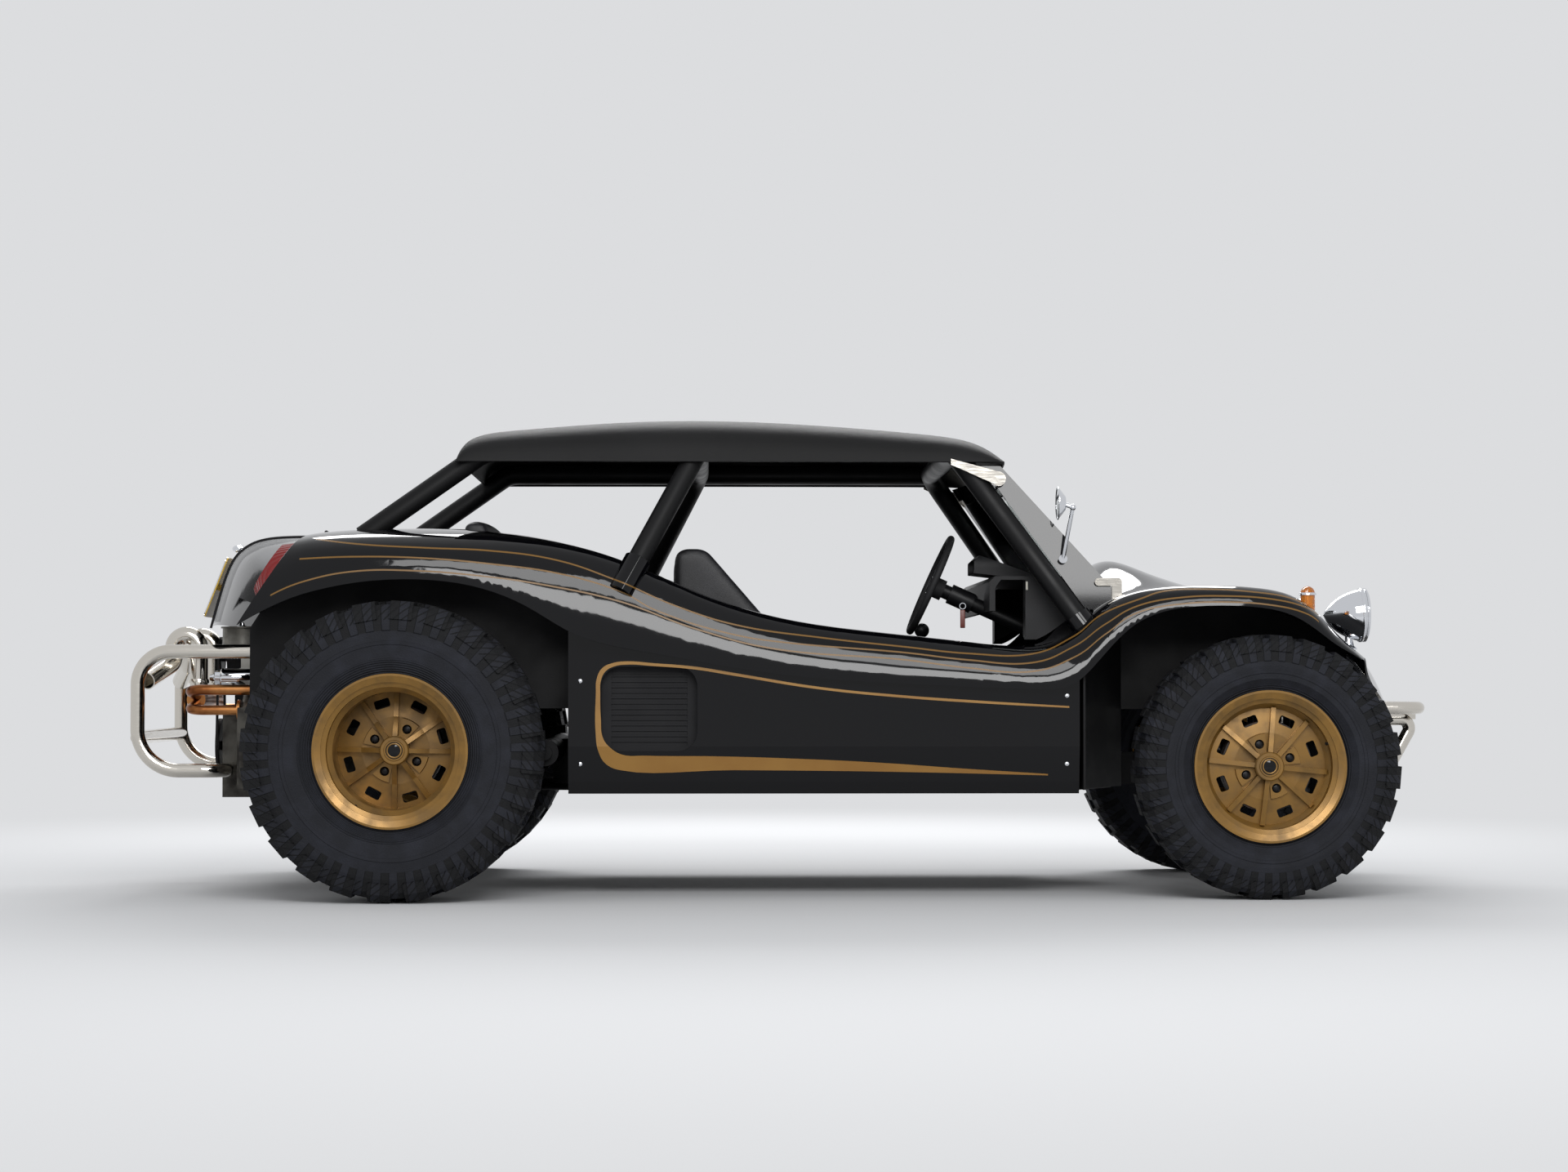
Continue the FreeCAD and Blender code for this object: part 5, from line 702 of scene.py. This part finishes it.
def makeScrews(side):
    heads = []
    for x, y, z in podScrews:
        spot = fromRear(x, side * y, z)
        heads.append(spun([(0, 0.0035), (0.003, 0.0032), (0.0058, 0.0016), (0.0064, 0.0)], spot,
                          axisY * side, 20))
    addPiece("pod_screws_" + labelOf(side), joined(heads), chrome, "chassis")


for side in (-1, 1):
    makeOutline(side)
    makeScrews(side)
print("side boxes dressed")


# lamps: bezels, feet and rims

lamps = {
    "bezelWidth": 0.010,
    "bezelDepth": 0.008,
    "footBack": 0.042,  # from the lens's back edge to the stalk's axis
    "footDrop": 0.098,  # from the lamp's middle down to the wing
    "ringWidth": 0.004,
    "ringDepth": 0.007,
    "tailRun": (0.138, 0, 0.214),  # the tail face's run, up and forward
    "tailRimHeight": 0.008,
    "tailRimProud": 0.0035,
}


def dressHeadlamp(side):
    label = labelOf(side)
    low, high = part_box("headlamp_lenses")
    edge = high.z - (low.z + high.z) / 2
    centre = Vector((low.x, side * (high.y - edge), (low.z + high.z) / 2))
    bezel = spun(ringBand(edge + 0.0005, edge + lamps["bezelWidth"], lamps["bezelDepth"]), centre, axisX, 64)
    addPiece("headlamp_bezel_" + label, bezel, chrome, "chassis")
    band = spun([(edge + 0.009, -0.014), (edge + 0.0105, -0.012), (edge + 0.0105, -0.006),
                 (edge + 0.009, -0.004), (edge + 0.007, -0.004), (edge + 0.007, -0.014),
                 (edge + 0.009, -0.014)], centre, axisX, 64)
    addPiece("headlamp_band_" + label, band, chrome, "chassis")
    foot = Vector((low.x - lamps["footBack"], centre.y, centre.z - lamps["footDrop"]))
    stalk = spun([(0.024, 0.0), (0.024, 0.004), (0.016, 0.010), (0.0125, 0.022), (0.0115, 0.030), (0, 0.030)],
                 foot, axisZ, 32)
    addPiece("headlamp_foot_" + label, stalk, chrome, "chassis")


def dressIndicator(side):
    low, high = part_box("indicators")
    radius = (high.x - low.x) / 2
    centre = Vector(((low.x + high.x) / 2, side * (high.y - radius), high.z - radius * 1.05))
    ring = spun(ringBand(radius + 0.0002, radius + lamps["ringWidth"], lamps["ringDepth"], -0.004), centre,
                axisZ, 40)
    addPiece("indicator_ring_" + labelOf(side), ring, chrome, "chassis")


def dressTailLamp(side):
    bm = copyOf("tail_lamps")
    other = [v for v in bm.verts if v.co.y * side < 0]
    bmesh.ops.delete(bm, geom=other, context="VERTS")
    slope = Vector(lamps["tailRun"]).normalized()
    back = Vector((-slope.z, 0, slope.x))
    foot = min(v.co.dot(back) for v in bm.verts)
    middle = sum((v.co for v in bm.verts), Vector()) / len(bm.verts)
    bmesh.ops.bisect_plane(bm, geom=wholeOf(bm), plane_co=back * (foot + lamps["tailRimHeight"]),
                           plane_no=back, clear_outer=True)
    for vert in bm.verts:
        off = vert.co - middle
        off -= back * off.dot(back)
        vert.co += off.normalized() * lamps["tailRimProud"]
    bmesh.ops.holes_fill(bm, edges=[e for e in bm.edges if e.is_boundary])
    addPiece("tail_lamp_rim_" + labelOf(side), bm, chrome, "chassis")


for side in (-1, 1):
    dressHeadlamp(side)
    dressIndicator(side)
    dressTailLamp(side)
print("lamps dressed")


# mirror glass, licence lamp, plate edge

mirror = {
    "glassRadius": 0.042,
    "lipRadius": 0.0465,
    "y": -0.640,
    "belowTop": 0.046,
}


def silveredGlass():
    # silvered mirror glass: a clean cold reflection with a trace of dust
    made, tree, place = startMaterial("silveredGlass", "e6eaec", Metallic=1.0, Roughness=0.01)
    addSmears(tree, place, 0.02, 0.5, 0.8, 0.01, 0.06)
    return made


def makeMirrorGlass():
    low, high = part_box("mirror")
    centre = Vector((low.x, mirror["y"], high.z - mirror["belowTop"]))
    radius = mirror["glassRadius"]
    glass = spun([(0, 0.0016), (radius, 0.0012), (radius + 0.001, 0.0004), (radius + 0.001, 0.0), (0, 0.0)],
                 centre, -axisX, 48)
    addPiece("mirror_glass", glass, silveredGlass(), "chassis")
    lip = spun(ringBand(radius + 0.001, mirror["lipRadius"], 0.003), centre, -axisX, 48)
    addPiece("mirror_lip", lip, chrome, "chassis")


licenceLamp = {"x": -0.532, "z": 0.990, "halfWidth": 0.055}


def makeLicenceLamp():
    centre = fromRear(licenceLamp["x"], 0, licenceLamp["z"])
    half = licenceLamp["halfWidth"]
    housing = spun([(0, -half), (0.008, -half * 0.97), (0.0135, -half * 0.8), (0.0145, 0),
                    (0.0135, half * 0.8), (0.008, half * 0.97), (0, half)], centre, axisY, 32)
    bmesh.ops.scale(housing, vec=(1.15, 1, 0.8), space=Matrix.Translation(-centre), verts=housing.verts)
    addPiece("licence_lamp", housing, chrome, "engine_lid")
    for side in (-1, 1):
        screw = spun([(0, 0.014), (0.003, 0.0135), (0.0042, 0.012), (0.0042, 0.0)],
                     centre + Vector((0.004, side * half * 0.6, 0)), axisZ, 16)
        addPiece("licence_lamp_screw_" + labelOf(side), screw, chrome, "engine_lid")


plateEdge = {"tilt": 21.3, "width": 0.007, "thick": 0.003}  # tilt in degrees


def makePlateEdge():
    bm = copyOf("number_plate")
    tilt = math.radians(plateEdge["tilt"])
    face = Vector((-math.cos(tilt), 0, math.sin(tilt)))
    away = max(v.co.dot(face) for v in bm.verts)
    keep = [f for f in bm.faces
            if f.normal.dot(face) > 0.9 and f.calc_center_median().dot(face) > away - 0.002]
    bmesh.ops.delete(bm, geom=[f for f in bm.faces if f not in keep], context="FACES")
    keepBorder(bm, plateEdge["width"], plateEdge["thick"])
    addPiece("plate_edge", bm, chrome, "engine_lid")


makeMirrorGlass()
makeLicenceLamp()
makePlateEdge()
print("mirror, licence lamp and plate dressed")


# screen: rubber seal round the glass

seal = {"width": 0.010, "thick": 0.005}


def makeScreenSeal():
    bm = copyOf("windscreen_glass")
    front = [f for f in bm.faces if f.normal.x > 0.35 and f.normal.z > 0.2]
    bmesh.ops.delete(bm, geom=[f for f in bm.faces if f not in front], context="FACES")
    keepBorder(bm, seal["width"], seal["thick"])
    addPiece("screen_seal", bm, trimRubber, "chassis")


makeScreenSeal()
print("screen sealed")


# cabin: gauges, switches, key, lever boot and pedal rubbers

cabin = {
    "driverY": -0.318,
    "gaugeFace": 1.637,
    "gaugeZ": 0.929,
    "gaugeRadius": 0.019,
    "gaugePitch": 0.046,
    "switch": (1.752, -0.5315, 0.868),
    "rockers": (1.6445, 0.845),  # ahead of the rear axle, and height
    "rockerPitch": 0.05,
    "keyX": 1.585,
    "keyAside": 0.036,  # from the column's middle
    "ringZ": 0.815,
    "fobZ": 0.778,
    "boot": (1.402, 0, 0.430),
    "pedals": (1.8715, 0.415),
    "pedalPitch": 0.085,
}


def printedDial():
    # screen-printed dial under glass: black with pale divisions 4 mm apart
    made, tree, place = startMaterial("printedDial", "0c0c0d", Roughness=0.15)
    up = node(tree, "SeparateXYZ", place).outputs["Z"]
    marks = node(tree, "Math", up, 2 * math.pi / 0.004, operation="MULTIPLY")
    marks = node(tree, "Math", marks, operation="SINE")
    marks = node(tree, "MapRange", marks, 0.7, 0.9, 0.0, 0.35, **smoothly)
    node(tree, "Mix", marks, to="Base Color", data_type="RGBA", A=linear("0c0c0d"), B=linear("d8d8d2"))
    return made


def ivoryPlastic():
    # off-white moulded plastic, faintly yellowed
    made, tree, place = startMaterial("ivoryPlastic", "e4e1d6", Roughness=0.4)
    cloud = node(tree, "TexNoise", place, Scale=1 / 0.01, Detail=2.0)
    node(tree, "Mix", cloud, to="Base Color", data_type="RGBA", A=linear("e8e5dc"), B=linear("d9d4c4"))
    return made


def dyedLeather():
    # dyed red leather tab, glossy from handling
    made, tree, place = startMaterial("redLeather", "7a2a1c", Roughness=0.4)
    addGrain(tree, place, 0.002, 0.3, 0.0004)
    cloud = node(tree, "TexNoise", place, Scale=1 / 0.02, Detail=3.0)
    node(tree, "Mix", cloud, to="Base Color", data_type="RGBA", A=linear("84301f"), B=linear("5e1f16"))
    return made


def makeGauges():
    r = cabin["gaugeRadius"]
    rings = []
    faces = []
    needles = []
    for index in (-2, -1, 0, 1, 2):
        centre = fromRear(cabin["gaugeFace"], cabin["driverY"] + index * cabin["gaugePitch"], cabin["gaugeZ"])
        rings.append(spun(ringBand(r * 0.86, r, 0.004), centre, -axisX, 32))
        faces.append(spun([(0, 0.0008), (r * 0.87, 0.0006), (r * 0.87, 0.0), (0, 0.0)], centre, -axisX, 32))
        turn = Matrix.Rotation(math.radians(35 + 25 * index), 3, "X")
        above = centre + Vector((-0.0016, 0, 0))
        needles.append(roundedBlock(above, (0.0008, 0.0016, r * 1.1), 0.0003, turn))
    addPiece("gauge_rings", joined(rings), chrome, "chassis")
    addPiece("gauge_faces", joined(faces), printedDial(), "chassis")
    addPiece("gauge_needles", joined(needles), ivory, "chassis")


def makeCabinTrim():
    switch = roundedBlock(fromRear(*cabin["switch"]), (0.006, 0.004, 0.024), 0.0015)
    addPiece("dash_switch", switch, ivory, "chassis")
    rockers = []
    for index in (-2, -1, 0, 1, 2):
        spot = fromRear(cabin["rockers"][0], index * cabin["rockerPitch"], cabin["rockers"][1])
        rockers.append(roundedBlock(spot, (0.008, 0.022, 0.012), 0.003))
    addPiece("dash_rockers", joined(rockers), trimRubber, "chassis")
    keyY = cabin["driverY"] - cabin["keyAside"]
    keyRing = spun([(0.0075, -0.001), (0.0095, -0.001), (0.0095, 0.001), (0.0075, 0.001), (0.0075, -0.001)],
                   fromRear(cabin["keyX"], keyY, cabin["ringZ"]), axisY, 24)
    addPiece("key_ring", keyRing, chrome, "chassis")
    fob = roundedBlock(fromRear(cabin["keyX"], keyY, cabin["fobZ"]), (0.014, 0.004, 0.052), 0.0019)
    addPiece("key_fob", fob, dyedLeather(), "chassis")
    boot = spun([(0.052, 0.0), (0.050, 0.010), (0.042, 0.014), (0.044, 0.022), (0.034, 0.026), (0.036, 0.034),
                 (0.026, 0.038), (0.028, 0.046), (0.016, 0.052), (0.0095, 0.058)], fromRear(*cabin["boot"]),
                axisZ, 32)
    addPiece("lever_boot", boot, trimRubber, "chassis")
    pads = []
    for index in (-1, 0, 1):
        y = cabin["driverY"] + cabin["pedalPitch"] * index
        spot = fromRear(cabin["pedals"][0], y, cabin["pedals"][1])
        pads.append(roundedBlock(spot, (0.006, 0.050, 0.062), 0.0025))
        for rib in range(4):
            place = spot + Vector((-0.0035, 0, -0.021 + 0.014 * rib))
            pads.append(roundedBlock(place, (0.003, 0.044, 0.006), 0.0012))
    addPiece("pedal_rubbers", joined(pads), trimRubber, "chassis")


ivory = ivoryPlastic()
makeGauges()
makeCabinTrim()
print("cabin dressed")


# steering wheel: horn button, its ring and screws ride with it

horn = {
    "tilt": 24,  # degrees back from upright
    "hub": (1.495, 0.876),  # ahead of the rear axle, and height
    "buttonRadius": 0.022,
    "ringRadius": 0.0275,
    "screwCircle": 0.0262,
    "screwAcross": 0.0042,
}


def makeHorn():
    tilt = math.radians(horn["tilt"])
    towards = Vector((-math.cos(tilt), 0, math.sin(tilt)))
    up = Vector((math.sin(tilt), 0, math.cos(tilt)))
    centre = fromRear(horn["hub"][0], cabin["driverY"], horn["hub"][1])
    radius = horn["buttonRadius"]
    button = spun([(0, 0.008), (0.010, 0.0078), (0.019, 0.006), (radius, 0.002), (radius, -0.001),
                   (0, -0.001)], centre, towards, 40)
    addPiece("horn_button", button, trimRubber, "steering")
    ring = spun(ringBand(radius, horn["ringRadius"], 0.005, -0.001), centre, towards, 40)
    addPiece("horn_ring", ring, chrome, "steering")
    screws = []
    for index in range(6):
        angle = math.radians(60 * index + 30)
        aside = axisY * math.sin(angle) + up * math.cos(angle)
        spot = centre + aside * horn["screwCircle"] + towards * 0.002
        screws.append(hexHead(spot, towards, horn["screwAcross"], 0.003))
    addPiece("horn_screws", joined(screws), darkSteel, "steering")


makeHorn()
print("steering wheel dressed")


# seats: foam cushions swollen in vinyl

seats = {
    "voxel": 0.011,
    "swell": 0.010,
    "smoothing": 8,
    "railHeight": 0.335,
    "railSize": (0.50, 0.026, 0.034),
    "railPlace": (1.052, 0.316, 0.3175),
    "railAside": 0.150,
    "cushionGap": 0.001,  # between rail and cushion
    "channelDepth": 0.005,
    "fill": 0.75,
}


def makeCushion(nodeName, name, legs, wide):
    bm = copyOf(nodeName)
    if legs:
        foot = seats["railHeight"] + seats["cushionGap"]
        bmesh.ops.bisect_plane(bm, geom=wholeOf(bm), plane_co=(0, 0, foot), plane_no=(0, 0, 1),
                               clear_inner=True)
        bmesh.ops.holes_fill(bm, edges=[e for e in bm.edges if e.is_boundary])
    bmesh.ops.triangulate(bm, faces=bm.faces[:])
    bmesh.ops.recalc_face_normals(bm, faces=bm.faces)
    mesh = bpy.data.meshes.new(name)
    bm.to_mesh(mesh)
    bm.free()
    piece = bpy.data.objects.new(name, mesh)
    bpy.context.scene.collection.objects.link(piece)
    remesh = piece.modifiers.new("remesh", "REMESH")
    remesh.mode = "VOXEL"
    remesh.voxel_size = seats["voxel"]
    remesh.use_smooth_shade = True
    smooth = piece.modifiers.new("smooth", "SMOOTH")
    smooth.factor = 0.5
    smooth.iterations = seats["smoothing"]
    depsgraph = bpy.context.evaluated_depsgraph_get()
    solid = bpy.data.meshes.new_from_object(piece.evaluated_get(depsgraph))
    piece.modifiers.clear()
    piece.data = solid
    low = min(v.co.y for v in solid.vertices)
    high = max(v.co.y for v in solid.vertices)
    bm = bmesh.new()
    bm.from_mesh(solid)
    bm.normal_update()
    for vert in bm.verts:
        share = (vert.co.y - (low + high) / 2) / ((high - low) / 2)
        crown = max(0.0, 1 - share * share)  # fullest along the middle, tight at the side seams
        lift = seats["swell"] * (crown if wide else crown * 0.6 + 0.2)
        if vert.normal.z > -0.3:
            seam = abs(math.sin(vert.co.y * math.pi / seamPitch)) ** 0.6
            satOn = max(0.0, min(1.0, vert.normal.z * 2 + vert.normal.x * 2))  # top and front sides only
            vert.co += vert.normal * (lift - seats["channelDepth"] * satOn * (1 - seam))
    bm.to_mesh(solid)
    bm.free()
    solid.materials.clear()
    solid.materials.append(vinyl)
    solid.shade_smooth()
    sub = piece.modifiers.new("soft", "SUBSURF")
    sub.levels = 1
    sub.render_levels = 1
    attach(piece, "chassis")
    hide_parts(nodeName)


def makeRails(side):
    x, y, z = seats["railPlace"]
    rails = []
    for offset in (-seats["railAside"], seats["railAside"]):
        rails.append(roundedBlock(fromRear(x, side * y + offset, z), seats["railSize"], 0.004))
    addPiece("seat_rails_" + labelOf(side), joined(rails), steelCoat, "chassis")


for side in (-1, 1):
    makeCushion("front_seat_" + labelOf(side), "front_cushion_" + labelOf(side), legs=True, wide=False)
    makeRails(side)
makeCushion("rear_bench", "bench_cushion", legs=False, wide=True)
print("seats padded")


# engine bay: coil, pipe clamps and cleaner nut

engineBay = {
    "coil": (-0.452, -0.205, 0.610),
    "clamps": (-0.628, 0.143, 0.600),
    "cleanerNut": (-0.505, -0.130, 0.7595),
}


def makeEngineTrim():
    coil = spun([(0, 0.0), (0.026, 0.001), (0.028, 0.004), (0.028, 0.098), (0.024, 0.102), (0.020, 0.104),
                 (0.020, 0.118), (0.012, 0.122), (0.008, 0.134), (0, 0.135)], fromRear(*engineBay["coil"]),
                -axisX, 32)
    addPiece("ignition_coil", coil, chrome, "chassis")
    x, y, z = engineBay["clamps"]
    band = ringBand(0.0262, 0.030, 0.012, -0.006)
    clamps = [spun(band, fromRear(x, side * y, z), axisZ, 32) for side in (-1, 1)]
    addPiece("pipe_clamps", joined(clamps), stainless, "chassis")
    nut = spun([(0, 0.012), (0.006, 0.011), (0.008, 0.004), (0.014, 0.0015), (0.014, 0.0)],
               fromRear(*engineBay["cleanerNut"]), axisZ, 24)
    addPiece("cleaner_nut", nut, chrome, "chassis")


makeEngineTrim()
print("engine bay dressed")


# floor and studio light

studio = {
    "colour": "dcdddf",  # floor and background alike
    "floorSize": 60,
    "fadeStart": 2.8,  # metres from the middle, where the floor turns into the background
    "fadeEnd": 6.5,
    "worldColour": "f4f5f6",
    "worldStrength": 0.6,
    "boxHeight": 2.6,  # one long side box, seen in gloss only
    "boxAway": 6.5,
    "boxTall": 1.1,
    "boxGlow": 42,  # watts a square metre
    "boxMiddle": 1.7,  # ahead of the rear axle
    "boxLong": 3.8,
    "boxAim": 0.7,  # out from the centreline, and height
    "keySize": (5.0, 2.0),
    "keyPower": 260,
    "keyAim": (0.0, 0.0, 0.5),
}


def addLight(name, place, size, power, aim):
    data = bpy.data.lights.new(name, "AREA")
    data.shape = "RECTANGLE"
    data.size, data.size_y = size
    data.energy = power
    light = bpy.data.objects.new(name, data)
    light.location = place
    light.rotation_euler = (Vector(aim) - Vector(place)).to_track_quat("-Z", "Y").to_euler()
    bpy.context.scene.collection.objects.link(light)
    return light


def seenRays(tree):
    # 1 where the camera, a gloss or a glass looks at the background, 0 where it lights the car
    rays = node(tree, "LightPath").outputs
    seen = node(tree, "Math", rays["Is Camera Ray"], rays["Is Glossy Ray"], operation="MAXIMUM")
    return node(tree, "Math", seen, rays["Is Transmission Ray"], operation="MAXIMUM")


def makeFloor():
    bm = bmesh.new()
    bmesh.ops.create_grid(bm, x_segments=1, y_segments=1, size=studio["floorSize"] / 2)
    mesh = bpy.data.meshes.new("floor")
    bm.to_mesh(mesh)
    bm.free()
    floor = bpy.data.objects.new("floor", mesh)
    bpy.context.scene.collection.objects.link(floor)
    made, tree, place = startMaterial("paleFloor", studio["colour"], Roughness=0.9, Specular_IOR_Level=0.1)
    away = node(tree, "VectorMath", place, operation="LENGTH")
    fade = node(tree, "MapRange", away, studio["fadeStart"], studio["fadeEnd"], **smoothly)
    share = node(tree, "Math", fade, seenRays(tree), operation="MULTIPLY")
    pale = node(tree, "Emission", Color=linear(studio["colour"]), Strength=1.0)
    mix = node(tree, "MixShader", share, tree.nodes["Principled BSDF"], pale)
    tree.links.new(mix.outputs[0], tree.nodes["Material Output"].inputs["Surface"])
    mesh.materials.append(made)


def makeWorld():
    world = bpy.data.worlds.new("studio")
    bpy.context.scene.world = world
    world.use_nodes = True
    tree = world.node_tree
    tree.nodes.clear()
    soft = node(tree, "Background", Color=linear(studio["worldColour"]), Strength=studio["worldStrength"])
    pale = node(tree, "Background", Color=linear(studio["colour"]), Strength=1.0)
    node(tree, "OutputWorld", node(tree, "MixShader", seenRays(tree), soft, pale))


def makeLights():
    place = fromRear(studio["boxMiddle"], -studio["boxAway"], studio["boxHeight"])
    power = studio["boxGlow"] * studio["boxLong"] * studio["boxTall"]
    aim = fromRear(studio["boxMiddle"], -studio["boxAim"], studio["boxAim"])
    box = addLight("sideBox", place, (studio["boxLong"], studio["boxTall"]), power, aim)
    box.visible_diffuse = False  # a sharp band in gloss paint, no extra light on matt parts
    addLight("sideLight", (0.6, -7.0, 5.0), studio["keySize"], studio["keyPower"], studio["keyAim"])
    addLight("farLight", (0.0, 5.0, 4.5), studio["keySize"], studio["keyPower"], studio["keyAim"])


makeFloor()
makeWorld()
makeLights()
bpy.context.scene.view_settings.view_transform = "Standard"
print("studio lit")
